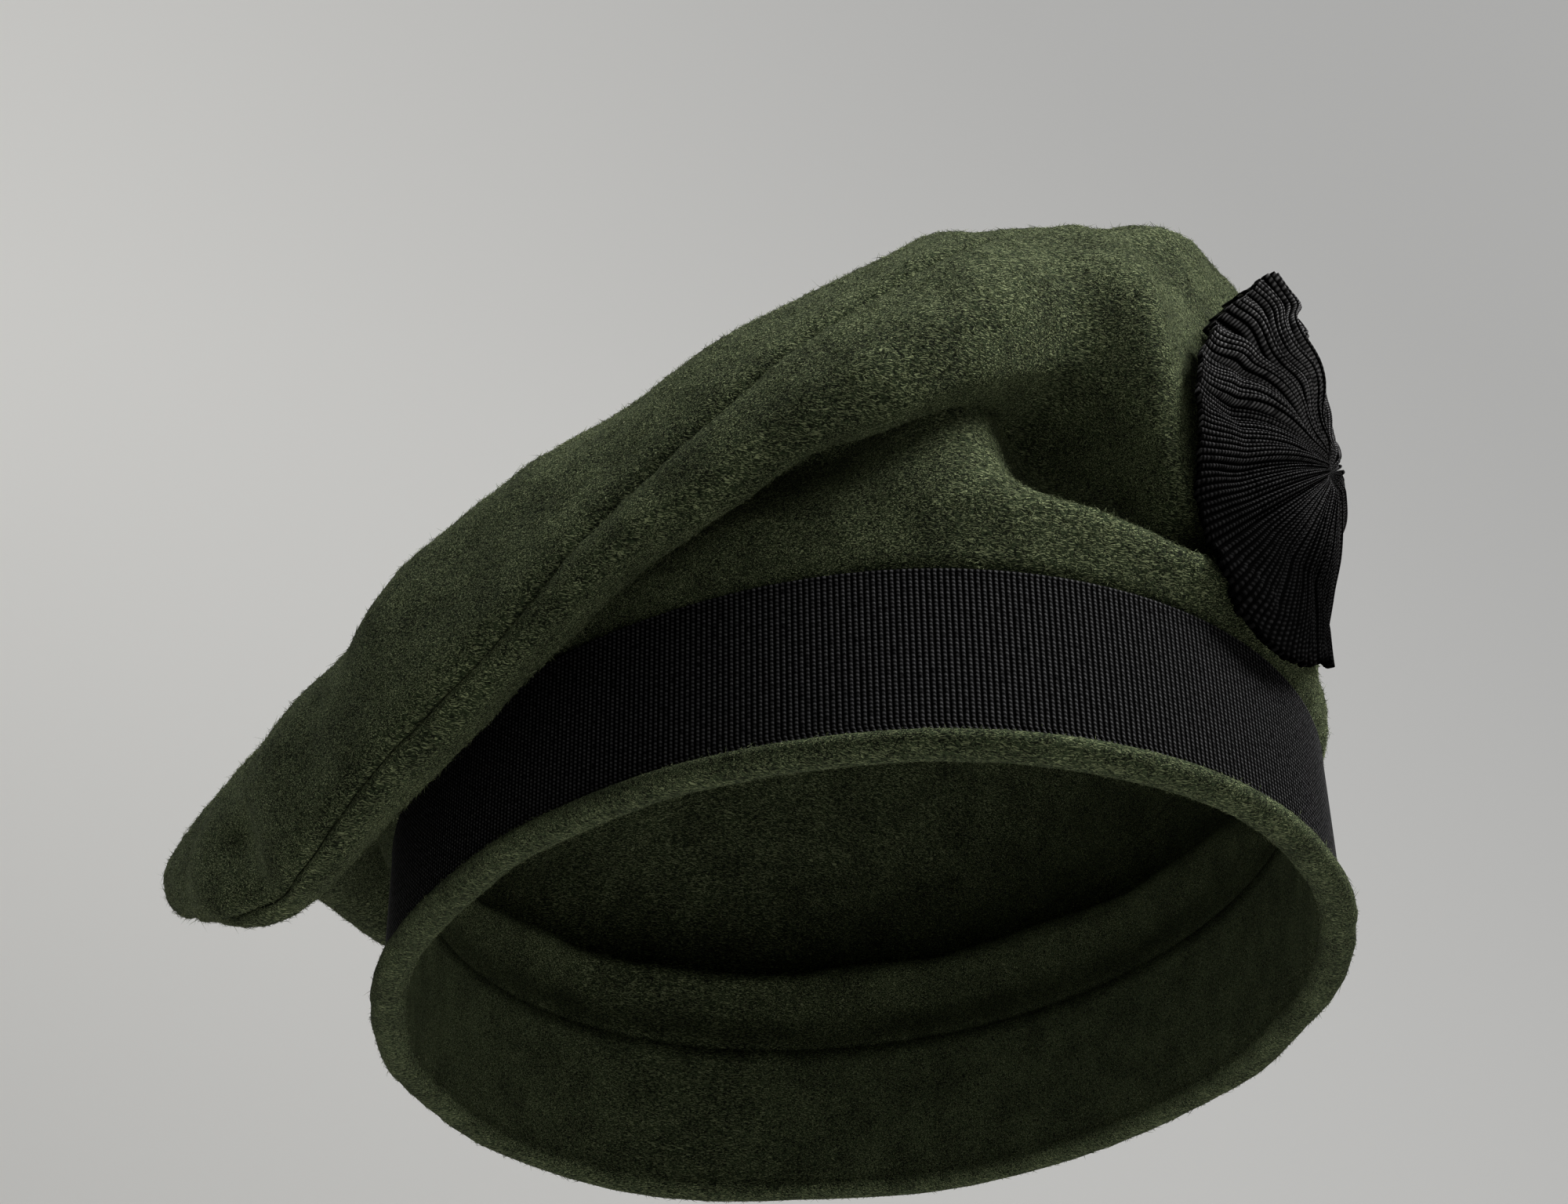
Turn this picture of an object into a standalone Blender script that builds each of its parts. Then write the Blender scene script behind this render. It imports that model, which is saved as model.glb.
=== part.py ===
"""A caubeen: a soft wool bonnet drawn down over the wearer's right side.

Metres, +Z up. The origin is the centre of the head opening in the plane of the
rim, -Y is the front and +X the wearer's left. An angle round the hat is counted
from the front, positive towards the wearer's left.
"""
import math

import bmesh
import bpy
import numpy as np

for old in list(bpy.data.objects):
    bpy.data.objects.remove(old, do_unlink=True)

# Head opening and headband
HEAD_WIDTH = 0.160        # inside the headband, ear to ear
HEAD_LENGTH = 0.200       # inside the headband, front to back
BAND_WALL = 0.0030        # wool of the headband, folded double
BAND_MARGIN = 0.0005      # wool above the ribbon, below the crown

# Ribbon round the headband
RIBBON_LIFT = 0.0034      # folded wool rim that shows below the ribbon
RIBBON_WIDTH = 0.0295
RIBBON_THICK = 0.0010

# Crown
CLOTH = 0.0022            # felted wool
CROWN_REACH = 0.040       # how far the roll reaches beyond the headband
CROWN_RISE = 0.100        # height that the crown's table counts from the band's top
POLE_LEFT = 0.002         # middle of the crown, towards the wearer's left
POLE_BACK = 0.012         # middle of the crown, towards the back
CROWN_FILL = 0.003        # how far the crown's middle stands above a slack sheet

# Cockade of gathered ribbon
COCKADE_WIDTH = 0.082     # round the hat
COCKADE_HEIGHT = 0.075
COCKADE_ANGLE = 38.0      # degrees from the front
COCKADE_RISE = 0.051      # its gathered middle above the band's top
COCKADE_THICK = 0.0022
COCKADE_STAND = 0.0010    # its rim beyond the headband's wall
COCKADE_PUFF = 0.0110     # its middle beyond its rim
RUFFLE_HEIGHT = 0.0042

GAP = 0.0003              # between pieces that touch

# How finely the cloth is divided
SECTORS = 72
SIDE_STEPS = (2, 2, 4, 2, 2)
TOP_STEPS = (4, 3)
MIDDLE_STEPS = 5
COCKADE_RINGS = 6
COCKADE_SPOKES = 72

BAND_HEIGHT = RIBBON_LIFT + RIBBON_WIDTH + BAND_MARGIN
HALF_WIDTH = HEAD_WIDTH / 2 + BAND_WALL
HALF_LENGTH = HEAD_LENGTH / 2 + BAND_WALL

# Sections of the crown. Each place is (out, up): out is a share of CROWN_REACH
# beyond the headband, up a share of CROWN_RISE above it.
SECTION_COLUMNS = ("angle", "wall", "tuck", "lip", "belly", "seam", "brow", "shoulder")
SECTIONS = (
    (-150, (0.08, 0.09), (0.03, 0.18), (0.38, 0.09), (0.55, 0.12), (0.63, 0.21), (0.43, 0.37), (-0.35, 0.58)),
    (-125, (0.10, 0.08), (0.10, 0.15), (0.38, 0.07), (0.60, 0.08), (0.70, 0.13), (0.68, 0.24), (-0.08, 0.48)),
    (-105, (0.10, 0.06), (0.18, 0.08), (0.42, -0.02), (0.64, -0.07), (0.82, -0.11), (1.03, -0.04), (0.18, 0.36)),
    (-90, (0.10, 0.04), (0.20, 0.00), (0.43, -0.18), (0.62, -0.26), (0.82, -0.29), (1.02, -0.19), (0.21, 0.29)),
    (-75, (0.10, 0.03), (0.18, -0.02), (0.40, -0.24), (0.55, -0.36), (0.73, -0.38), (0.91, -0.22), (0.22, 0.26)),
    (-60, (0.08, 0.04), (0.13, 0.03), (0.38, -0.21), (0.58, -0.27), (0.70, -0.26), (0.68, 0.02), (0.00, 0.38)),
    (-50, (0.05, 0.05), (0.08, 0.10), (0.30, -0.12), (0.50, -0.16), (0.60, -0.12), (0.51, 0.17), (-0.15, 0.48)),
    (-40, (0.05, 0.08), (0.00, 0.17), (0.28, 0.00), (0.48, -0.01), (0.50, 0.08), (0.37, 0.28), (-0.25, 0.56)),
    (-30, (0.05, 0.11), (-0.05, 0.23), (0.25, 0.12), (0.43, 0.14), (0.40, 0.26), (0.25, 0.43), (-0.33, 0.65)),
    (-20, (0.05, 0.13), (-0.08, 0.29), (0.25, 0.21), (0.38, 0.28), (0.25, 0.45), (-0.05, 0.64), (-0.60, 0.78)),
    (-10, (0.08, 0.13), (-0.12, 0.33), (0.20, 0.28), (0.30, 0.40), (0.08, 0.62), (-0.30, 0.78), (-0.85, 0.86)),
    (0, (0.10, 0.13), (-0.18, 0.32), (0.03, 0.39), (0.18, 0.55), (-0.22, 0.80), (-0.50, 0.86), (-1.05, 0.90)),
    (13, (0.10, 0.11), (-0.12, 0.22), (0.03, 0.40), (0.12, 0.66), (-0.36, 0.93), (-0.65, 0.96), (-1.15, 0.95)),
    (25, (0.10, 0.09), (-0.08, 0.17), (-0.10, 0.37), (-0.02, 0.67), (-0.13, 0.97), (-0.46, 1.02), (-1.10, 0.99)),
    (42, (0.08, 0.09), (0.03, 0.18), (0.10, 0.37), (0.16, 0.60), (-0.10, 0.94), (-0.38, 1.00), (-1.02, 0.97)),
    (58, (0.08, 0.09), (0.05, 0.19), (0.05, 0.37), (0.10, 0.54), (0.00, 0.80), (-0.27, 0.90), (-0.88, 0.95)),
    (73, (0.08, 0.09), (0.08, 0.20), (0.28, 0.36), (0.34, 0.50), (0.18, 0.70), (-0.12, 0.82), (-0.72, 0.91)),
    (95, (0.08, 0.09), (0.06, 0.20), (0.38, 0.29), (0.47, 0.41), (0.35, 0.58), (0.06, 0.73), (-0.55, 0.85)),
    (125, (0.08, 0.09), (0.05, 0.19), (0.40, 0.17), (0.60, 0.25), (0.55, 0.41), (0.25, 0.59), (-0.45, 0.76)),
    (155, (0.08, 0.09), (0.03, 0.19), (0.43, 0.09), (0.63, 0.14), (0.65, 0.27), (0.35, 0.47), (-0.40, 0.68)),
    (180, (0.08, 0.09), (0.03, 0.18), (0.43, 0.05), (0.63, 0.09), (0.68, 0.20), (0.40, 0.39), (-0.35, 0.63)),
)

# Soft dents and swells of the cloth. The place counts the columns above, so 5.5
# is halfway from the seam to the brow; the depth is a share of CROWN_REACH,
# below nought for a swell.
DENT_COLUMNS = ("angle", "place", "half_angle", "half_place", "depth")
DENTS = (
    (-84, 5.45, 5.0, 0.30, 0.075),
    (-71, 5.75, 5.0, 0.50, 0.030),
    (-62, 5.60, 4.0, 0.60, -0.035),
    (-53, 5.70, 4.5, 0.50, 0.045),
    (-12, 1.75, 5.0, 0.45, -0.060),
    (6, 3.00, 5.0, 0.60, 0.080),
    (17, 3.60, 4.0, 0.70, -0.050),
    (-20, 6.40, 9.0, 0.50, 0.050),
    (75, 2.60, 9.0, 0.50, -0.050),
    (-140, 6.50, 10.0, 0.50, 0.050),
)

# Ruffles of the cockade. Directions are in degrees from the wearer's left,
# through the top; height is a share of RUFFLE_HEIGHT, start a share of the
# radius, and sway bends the ruffle's line sideways, in degrees.
RUFFLE_COLUMNS = ("direction", "half_width", "height", "start", "sway")
RUFFLES = (
    (84, 7.5, 0.70, 0.30, 3.0),
    (104, 8.5, 1.00, 0.35, -4.0),
    (124, 8.0, 0.90, 0.35, 4.0),
    (143, 7.5, 0.90, 0.35, -4.0),
    (160, 6.5, 0.60, 0.40, 3.0),
    (178, 6.5, 0.35, 0.45, 0.0),
    (197, 6.5, 0.40, 0.40, 0.0),
    (216, 6.5, 0.40, 0.35, 0.0),
    (236, 6.5, 0.35, 0.30, 0.0),
    (256, 6.5, 0.35, 0.30, 0.0),
    (276, 6.5, 0.35, 0.30, 0.0),
    (297, 6.5, 0.30, 0.30, 0.0),
    (318, 7.0, 0.30, 0.30, 4.0),
    (340, 7.0, 0.40, 0.30, -5.0),
    (2, 7.0, 0.70, 0.30, 6.0),
    (24, 7.0, 0.80, 0.30, -6.0),
    (44, 7.0, 0.70, 0.30, 6.0),
    (64, 7.0, 0.80, 0.30, -5.0),
)


def periodic(knots, values, angle):
    """Smooth curve through values at knots, in degrees, that closes after 360."""
    knots = np.asarray(knots, float)
    values = np.asarray(values, float)
    x = np.concatenate([knots[-2:] - 360, knots, knots[:3] + 360])
    y = np.concatenate([values[-2:], values, values[:3]])
    slope = np.zeros_like(y)
    gap = (x[2:] - x[:-2]).reshape((-1,) + (1,) * (y.ndim - 1))
    slope[1:-1] = (y[2:] - y[:-2]) / gap
    angle = (np.asarray(angle, float) - knots[0]) % 360 + knots[0]
    i = np.clip(np.searchsorted(x, angle, side="right") - 1, 1, len(x) - 3)
    shape = (-1,) + (1,) * (y.ndim - 1)
    step = (x[i + 1] - x[i]).reshape(shape)
    t = ((angle - x[i]) / (x[i + 1] - x[i])).reshape(shape)
    return ((2 * t**3 - 3 * t**2 + 1) * y[i] + (t**3 - 2 * t**2 + t) * step * slope[i]
            + (3 * t**2 - 2 * t**3) * y[i + 1] + (t**3 - t**2) * step * slope[i + 1])


def direction(angle):
    a = np.radians(angle)
    return np.stack([np.sin(a), -np.cos(a)], -1)


def band_radius(angle):
    """From the origin to the headband's outer wall."""
    a = np.radians(angle)
    return 1.0 / np.hypot(np.sin(a) / HALF_WIDTH, np.cos(a) / HALF_LENGTH)


def section_places(angle):
    """The places of the sections, in metres out from the band and up from the rim."""
    knots = [row[0] for row in SECTIONS]
    shares = np.array([row[1:] for row in SECTIONS], float)
    places = periodic(knots, shares, angle)
    places[..., 0] *= CROWN_REACH
    places[..., 1] = BAND_HEIGHT + places[..., 1] * CROWN_RISE
    start = np.zeros((len(places), 1, 2))
    start[..., 1] = BAND_HEIGHT + GAP
    return np.concatenate([start, places], 1)


def curve_through(places, steps):
    """Centripetal curve through the places of each section, and its place numbers."""
    ends = np.concatenate([2 * places[:, :1] - places[:, 1:2], places,
                           2 * places[:, -1:] - places[:, -2:-1]], 1)
    rows, numbers = [], []
    for s, count in enumerate(steps):
        p0, p1, p2, p3 = (ends[:, s + k] for k in range(4))
        t1 = np.sqrt(np.linalg.norm(p1 - p0, axis=-1, keepdims=True)) + 1e-9
        t2 = t1 + np.sqrt(np.linalg.norm(p2 - p1, axis=-1, keepdims=True)) + 1e-9
        t3 = t2 + np.sqrt(np.linalg.norm(p3 - p2, axis=-1, keepdims=True)) + 1e-9
        for k in range(count + (s == len(steps) - 1)):
            t = t1 + (t2 - t1) * k / count
            a1 = (t1 - t) / t1 * p0 + t / t1 * p1
            a2 = (t2 - t) / (t2 - t1) * p1 + (t - t1) / (t2 - t1) * p2
            a3 = (t3 - t) / (t3 - t2) * p2 + (t - t2) / (t3 - t2) * p3
            b1 = (t2 - t) / t2 * a1 + t / t2 * a2
            b2 = (t3 - t) / (t3 - t1) * a2 + (t - t1) / (t3 - t1) * a3
            rows.append((t2 - t) / (t2 - t1) * b1 + (t - t1) / (t2 - t1) * b2)
            numbers.append(s + k / count)
    return np.stack(rows, 1), np.array(numbers)


def grid_normals(grid):
    """Outward normals of a grid of points, sectors first, that closes round the hat."""
    around = np.roll(grid, -1, 0) - np.roll(grid, 1, 0)
    along = np.gradient(grid, axis=1)
    normal = np.cross(around, along)
    return normal / (np.linalg.norm(normal, axis=-1, keepdims=True) + 1e-12)


def crown_grid(sectors, side_steps, top_steps, middle_steps):
    """The crown's outer face from the band to the ring before its middle.

    Gives the angles, the points, the row of the seam and the middle point.
    """
    angle = -180 + 360 * np.arange(sectors) / sectors
    profile, number = curve_through(section_places(angle), side_steps + top_steps)
    reach = band_radius(angle)[:, None] + profile[..., 0]
    toward = direction(angle)
    grid = np.stack([reach * toward[:, :1], reach * toward[:, 1:], profile[..., 1]], -1)
    middle = np.array([POLE_LEFT, POLE_BACK])
    edge = grid[:, -1]
    last = grid[:, -1] - grid[:, -2]
    span = edge[:, :2] - middle
    fall = -last[:, 2] / np.maximum(np.linalg.norm(last[:, :2], axis=1), 1e-6)
    fall = fall * np.linalg.norm(span, axis=1)
    # Inside the last ring the cloth is the smoothest sheet that leaves it at its
    # own slope: a plane, plus the ring's waves, each fading towards the middle.
    plane = np.linalg.lstsq(np.column_stack([np.ones(sectors), span]), edge[:, 2], rcond=None)[0]
    wave = np.fft.rfft(edge[:, 2] - plane[0] - span @ plane[1:])
    tilt = np.fft.rfft(fall - span @ plane[1:])
    order = np.arange(len(wave))
    swell = (order * wave - tilt) / 2

    def sheet_height(s):
        return (plane[0] + span @ plane[1:] * s + CROWN_FILL * (1 - s * s) ** 2
                + np.fft.irfft((wave + swell * (1 - s * s)) * s**order, sectors))

    rows = []
    for k in range(1, middle_steps):
        s = 1 - k / middle_steps
        rows.append(np.column_stack([middle + span * s, sheet_height(s)]))
    middle = np.array([*middle, sheet_height(0.0)[0]])
    grid = np.concatenate([grid, np.stack(rows, 1)], 1)
    number = np.concatenate([number, number[-1] + np.arange(1, middle_steps) / middle_steps])
    normal = grid_normals(grid)
    for at, place, half_angle, half_place, depth in DENTS:
        turn = (angle - at + 180) % 360 - 180
        weight = (np.exp(-(turn / half_angle) ** 2)[:, None]
                  * np.exp(-((number - place) / half_place) ** 2)[None])
        weight = weight * np.clip(number, 0, 1)
        grid = grid - normal * (weight * depth * CROWN_REACH)[..., None]
    return angle, grid, sum(side_steps), middle


def cloth_solid(name, outer, inner, colour, outer_middle=None, inner_middle=None):
    """Closed solid of cloth between two grids that share sectors and rows."""
    mesh = bmesh.new()
    sectors, rows = outer.shape[:2]
    sheets = [[[mesh.verts.new(point) for point in column] for column in grid]
              for grid in (outer, inner)]
    poles = []
    if outer_middle is not None:
        poles = [mesh.verts.new(outer_middle), mesh.verts.new(inner_middle)]
    for i in range(sectors):
        j = (i + 1) % sectors
        (a, b), (c, d) = (sheets[0][i], sheets[0][j]), (sheets[1][i], sheets[1][j])
        for k in range(rows - 1):
            mesh.faces.new((a[k], b[k], b[k + 1], a[k + 1]))
            mesh.faces.new((c[k], c[k + 1], d[k + 1], d[k]))
        mesh.faces.new((a[0], c[0], d[0], b[0]))
        if poles:
            mesh.faces.new((a[-1], b[-1], poles[0]))
            mesh.faces.new((c[-1], poles[1], d[-1]))
        else:
            mesh.faces.new((a[-1], b[-1], d[-1], c[-1]))
    bmesh.ops.triangulate(mesh, faces=mesh.faces[:], quad_method="SHORT_EDGE")
    return finish_piece(name, mesh, colour, 0.95)


def finish_piece(name, mesh, colour, roughness):
    data = bpy.data.meshes.new(name)
    mesh.to_mesh(data)
    mesh.free()
    data.shade_smooth()
    data.set_sharp_from_angle(angle=math.radians(50))
    piece = bpy.data.objects.new(name, data)
    bpy.context.scene.collection.objects.link(piece)
    material = bpy.data.materials.new(name)
    material.use_nodes = True
    shader = material.node_tree.nodes["Principled BSDF"]
    shader.inputs["Base Color"].default_value = colour
    shader.inputs["Roughness"].default_value = roughness
    shader.inputs["Metallic"].default_value = 0.0
    data.materials.append(material)
    return piece


def ring(name, section, colour, roughness):
    """Closed ring that follows the headband, from its section of (out, up) points."""
    mesh = bmesh.new()
    columns = []
    for angle in -180 + 360 * np.arange(SECTORS) / SECTORS:
        toward = direction(angle)
        base = band_radius(angle)
        columns.append([mesh.verts.new((*(toward * (base + out)), up)) for out, up in section])
    for i, here in enumerate(columns):
        there = columns[(i + 1) % SECTORS]
        for k in range(len(section)):
            m = (k + 1) % len(section)
            mesh.faces.new((here[k], there[k], there[m], here[m]))
    bmesh.ops.triangulate(mesh, faces=mesh.faces[:], quad_method="SHORT_EDGE")
    return finish_piece(name, mesh, colour, roughness)


OLIVE = (0.050, 0.066, 0.030, 1.0)
BLACK = (0.012, 0.012, 0.013, 1.0)

# Crown side and crown top, sewn together along the seam of the roll
angles, face, seam, middle = crown_grid(SECTORS, SIDE_STEPS, TOP_STEPS, MIDDLE_STEPS)
normal = grid_normals(face)
normal[:, 0] = np.column_stack([direction(angles), np.zeros(SECTORS)])
lining = face - normal * CLOTH
along = face[:, seam + 1] - face[:, seam - 1]
along = along / np.linalg.norm(along, axis=1, keepdims=True) * GAP / 2


def sheets(first, last, lower_shift, upper_shift):
    cut = []
    for grid in (face, lining):
        piece = grid[:, first:last + 1].copy()
        piece[:, 0] += lower_shift
        piece[:, -1] += upper_shift
        cut.append(piece)
    return cut


cloth_solid("crown_side", *sheets(0, seam, 0.0, -along), OLIVE)
top_normal = normal[:, -1].mean(0)
top_normal = top_normal / np.linalg.norm(top_normal)
cloth_solid("crown_top", *sheets(seam, face.shape[1] - 1, along, 0.0), OLIVE,
            middle, middle - top_normal * CLOTH)

# Headband: wool folded at the rim, which swells a little below the ribbon
ring("headband", [
    (0.0, BAND_HEIGHT),
    (-BAND_WALL, BAND_HEIGHT),
    (-BAND_WALL, RIBBON_LIFT),
    (-BAND_WALL * 1.05, RIBBON_LIFT * 0.30),
    (-BAND_WALL * 0.55, 0.0),
    (BAND_WALL * 0.10, RIBBON_LIFT * 0.06),
    (BAND_WALL * 0.32, RIBBON_LIFT * 0.38),
    (BAND_WALL * 0.24, RIBBON_LIFT * 0.70),
    (0.0, RIBBON_LIFT),
], OLIVE, 0.95)

# Ribbon round the headband
RIBBON_TOP = RIBBON_LIFT + RIBBON_WIDTH
ring("band_ribbon", [
    (GAP, RIBBON_LIFT),
    (GAP + RIBBON_THICK * 0.75, RIBBON_LIFT),
    (GAP + RIBBON_THICK, RIBBON_LIFT + RIBBON_THICK * 0.4),
    (GAP + RIBBON_THICK, RIBBON_TOP - RIBBON_THICK * 0.4),
    (GAP + RIBBON_THICK * 0.75, RIBBON_TOP),
    (GAP, RIBBON_TOP),
], BLACK, 0.75)


# Cockade: ribbon gathered to its middle, seated on the crown in front of the
# wearer's left ear
fine_angle = np.linspace(-20.0, 100.0, 481)
fine_point = direction(fine_angle) * (band_radius(fine_angle)[:, None] + COCKADE_STAND)
walk = np.concatenate([[0.0], np.cumsum(np.linalg.norm(np.diff(fine_point, axis=0), axis=1))])
walk -= np.interp(COCKADE_ANGLE, fine_angle, walk)
height_order = np.maximum.accumulate(face[..., 2], axis=1)


def crown_out(angle, up):
    """How far the crown's outer face stands beyond the band's wall at a height."""
    spot = (angle + 180) / (360 / SECTORS)
    low = int(math.floor(spot))
    found = []
    for i in (low % SECTORS, (low + 1) % SECTORS):
        reach = np.linalg.norm(face[i, :, :2], axis=1) - band_radius(angles[i])
        found.append(np.interp(up, height_order[i, :seam + 3], reach[:seam + 3]))
    return found[0] + (found[1] - found[0]) * (spot - low)


def crown_cover(aside, up, step):
    """The crown's furthest reach near a place of the cockade."""
    return max(crown_out(np.interp(aside + da, walk, fine_angle), up + du)
               for da in (-step, 0.0, step) for du in (-step, 0.0, step))


def cockade_point(share, spoke):
    """Front of the cockade at a share of its radius, and the way out there."""
    turn = math.radians(spoke)
    aside = share * COCKADE_WIDTH / 2 * math.cos(turn)
    rise = share * COCKADE_HEIGHT / 2 * math.sin(turn)
    up = BAND_HEIGHT + COCKADE_RISE + rise
    lift = 0.0
    for at, half_width, height, start, sway in RUFFLES:
        swell = min(max((share - start) / (0.85 - start), 0.0), 1.0)
        bend = sway * math.sin(share * 9.0) * swell
        off = (spoke - at - bend + 180) % 360 - 180
        lift += height * swell * math.exp(-(off / half_width) ** 2)
    out = COCKADE_STAND + COCKADE_PUFF * (1 - share**2) ** 0.8
    cover = crown_cover(aside, up, COCKADE_WIDTH / 24) + 2 * GAP + COCKADE_THICK
    out = max(out, cover) + lift * RUFFLE_HEIGHT
    angle = np.interp(aside, walk, fine_angle)
    toward = direction(angle)
    return np.array([*(toward * (band_radius(angle) + out)), up]), np.array([*toward, 0.0])


mesh = bmesh.new()
front, back = [], []
for n in range(1, COCKADE_RINGS + 1):
    share = (n / COCKADE_RINGS) ** 0.9
    front.append([])
    back.append([])
    for m in range(COCKADE_SPOKES):
        point, toward = cockade_point(share, 360 * m / COCKADE_SPOKES)
        front[-1].append(mesh.verts.new(point))
        back[-1].append(mesh.verts.new(point - toward * COCKADE_THICK))
point, toward = cockade_point(0.0, 0.0)
front_middle = mesh.verts.new(point)
# The gathers are drawn back at the middle, where they are sewn to the crown
sewn = crown_cover(0.0, point[2], RIBBON_THICK) + GAP
back_middle = mesh.verts.new([*(toward[:2] * (band_radius(COCKADE_ANGLE) + sewn)), point[2]])
for m in range(COCKADE_SPOKES):
    k = (m + 1) % COCKADE_SPOKES
    mesh.faces.new((front_middle, front[0][m], front[0][k]))
    mesh.faces.new((back_middle, back[0][k], back[0][m]))
    for n in range(COCKADE_RINGS - 1):
        mesh.faces.new((front[n][m], front[n + 1][m], front[n + 1][k], front[n][k]))
        mesh.faces.new((back[n][m], back[n][k], back[n + 1][k], back[n + 1][m]))
    mesh.faces.new((front[-1][m], back[-1][m], back[-1][k], front[-1][k]))
bmesh.ops.triangulate(mesh, faces=mesh.faces[:], quad_method="SHORT_EDGE")
finish_piece("cockade", mesh, BLACK, 0.75)
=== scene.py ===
# %% [markdown]
# # A caubeen
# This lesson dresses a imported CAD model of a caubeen, which is a soft wool
# bonnet. The crown is drawn down over the wearer's right side, a black ribbed
# ribbon runs round the headband, and a cockade of gathered ribbon is sewn on at
# the front left. The CAD parts stay as the fixed frame. Every soft part of it is
# built again here in the same place, with its folds, seam, ribs and nap.

# %% Load the frame
import math

import bpy
import numpy as np
from mathutils import Matrix, Vector


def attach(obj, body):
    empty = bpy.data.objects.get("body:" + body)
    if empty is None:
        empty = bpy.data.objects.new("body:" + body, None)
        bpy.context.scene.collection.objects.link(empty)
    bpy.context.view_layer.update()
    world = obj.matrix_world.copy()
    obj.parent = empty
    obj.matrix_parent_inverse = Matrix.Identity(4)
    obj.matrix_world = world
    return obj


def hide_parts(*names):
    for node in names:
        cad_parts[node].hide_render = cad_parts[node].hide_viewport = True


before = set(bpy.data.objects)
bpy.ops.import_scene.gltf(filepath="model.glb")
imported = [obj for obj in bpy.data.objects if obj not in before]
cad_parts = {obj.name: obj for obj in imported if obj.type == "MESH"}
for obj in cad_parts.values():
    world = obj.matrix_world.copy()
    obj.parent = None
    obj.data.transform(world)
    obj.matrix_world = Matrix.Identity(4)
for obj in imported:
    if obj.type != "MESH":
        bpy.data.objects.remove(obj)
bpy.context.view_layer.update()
MM = 0.001
print("CAD nodes:", sorted(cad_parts))

# %% [markdown]
# ## Camera
# The hat is seen from below and a little from the wearer's right. A camera is
# only a matrix: three axes and a place. Writing the axes out from a yaw, a pitch
# and a small roll keeps the numbers that a fit over the head opening gives.

# %% Camera
CAMERA_PLACE = (-0.1576, -0.4012, -0.1785)
CAMERA_YAW, CAMERA_PITCH, CAMERA_ROLL = (math.radians(turn) for turn in (-20, -32, -0.8))
FOCAL_LENGTH, SENSOR_WIDTH = 57.6, 36.0
back = Vector((math.sin(CAMERA_YAW) * math.cos(CAMERA_PITCH),
               -math.cos(CAMERA_YAW) * math.cos(CAMERA_PITCH), math.sin(CAMERA_PITCH)))
level = Vector((math.cos(CAMERA_YAW), math.sin(CAMERA_YAW), 0))
upright = back.cross(level)
right = math.cos(CAMERA_ROLL) * level + math.sin(CAMERA_ROLL) * upright
up = math.cos(CAMERA_ROLL) * upright - math.sin(CAMERA_ROLL) * level
lens = bpy.data.cameras.new("camera")
lens.lens, lens.sensor_width, lens.sensor_fit = FOCAL_LENGTH, SENSOR_WIDTH, "HORIZONTAL"
camera = bpy.data.objects.new("camera", lens)
camera.matrix_world = Matrix((
    (right.x, up.x, back.x, CAMERA_PLACE[0]), (right.y, up.y, back.y, CAMERA_PLACE[1]),
    (right.z, up.z, back.z, CAMERA_PLACE[2]), (0, 0, 0, 1)))
bpy.context.scene.collection.objects.link(camera)
bpy.context.scene.camera = camera
bpy.context.scene.view_settings.view_transform = "Standard"
print("camera looks along", [round(-x, 3) for x in back])

# %% [markdown]
# ## Meshes from grids
# The cloth of a hat is a grid: columns round it and rows up it.
# One helper turns such grids into a closed solid with an outer and an inner
# face, and one makes the object, hangs it on the frame and hides the CAD parts
# it stands for.

# %% Helpers for meshes
def add_piece(name, points, faces, material, slot, nodes=()):
    """Mesh object that rides on the hat, made of points in metres and faces."""
    data = bpy.data.meshes.new(name)
    data.from_pydata(np.asarray(points).tolist(), [], faces)
    data.shade_smooth()
    data.materials.append(material)
    piece = bpy.data.objects.new(name, data)
    bpy.context.scene.collection.objects.link(piece)
    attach(piece, "root")
    if nodes:
        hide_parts(*nodes)
    triangles = sum(len(face) - 2 for face in faces)
    print(f"{name}: {len(points)} points, {triangles} triangles")
    return piece


def band_of_quads(columns, rows, start=0, flip=False):
    """Quads of a grid that closes round the hat, columns first."""
    i = np.arange(columns)[:, None] * rows
    j = (np.arange(columns)[:, None] + 1) % columns * rows
    k = np.arange(rows - 1)[None]
    quads = np.stack([i + k, j + k, j + k + 1, i + k + 1], -1).reshape(-1, 4) + start
    return quads[:, ::-1] if flip else quads


def closed_cloth(outer, inner, outer_middle=None, inner_middle=None):
    """Points and faces of a cloth between two grids of the same size.

    The grids' last rows are joined by a hem, or by fans round the two middle points.
    """
    columns, rows = outer.shape[:2]
    size = columns * rows
    points = [outer.reshape(-1, 3), inner.reshape(-1, 3)]
    i = np.arange(columns) * rows
    j = np.roll(i, -1)
    faces = [band_of_quads(columns, rows), band_of_quads(columns, rows, size, True),
             np.stack([i, i + size, j + size, j], -1)]
    last = rows - 1
    fans = []
    if outer_middle is None:
        faces.append(np.stack([i + last, j + last, j + last + size, i + last + size], -1))
    else:
        points += [np.atleast_2d(outer_middle), np.atleast_2d(inner_middle)]
        front, rear = (np.full(columns, 2 * size + k) for k in (0, 1))
        fans = [np.stack([i + last, j + last, front], -1),
                np.stack([j + last + size, i + last + size, rear], -1)]
    triangles = [face for fan in fans for face in fan.tolist()]
    return np.concatenate(points), np.concatenate(faces).tolist() + triangles


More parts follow.
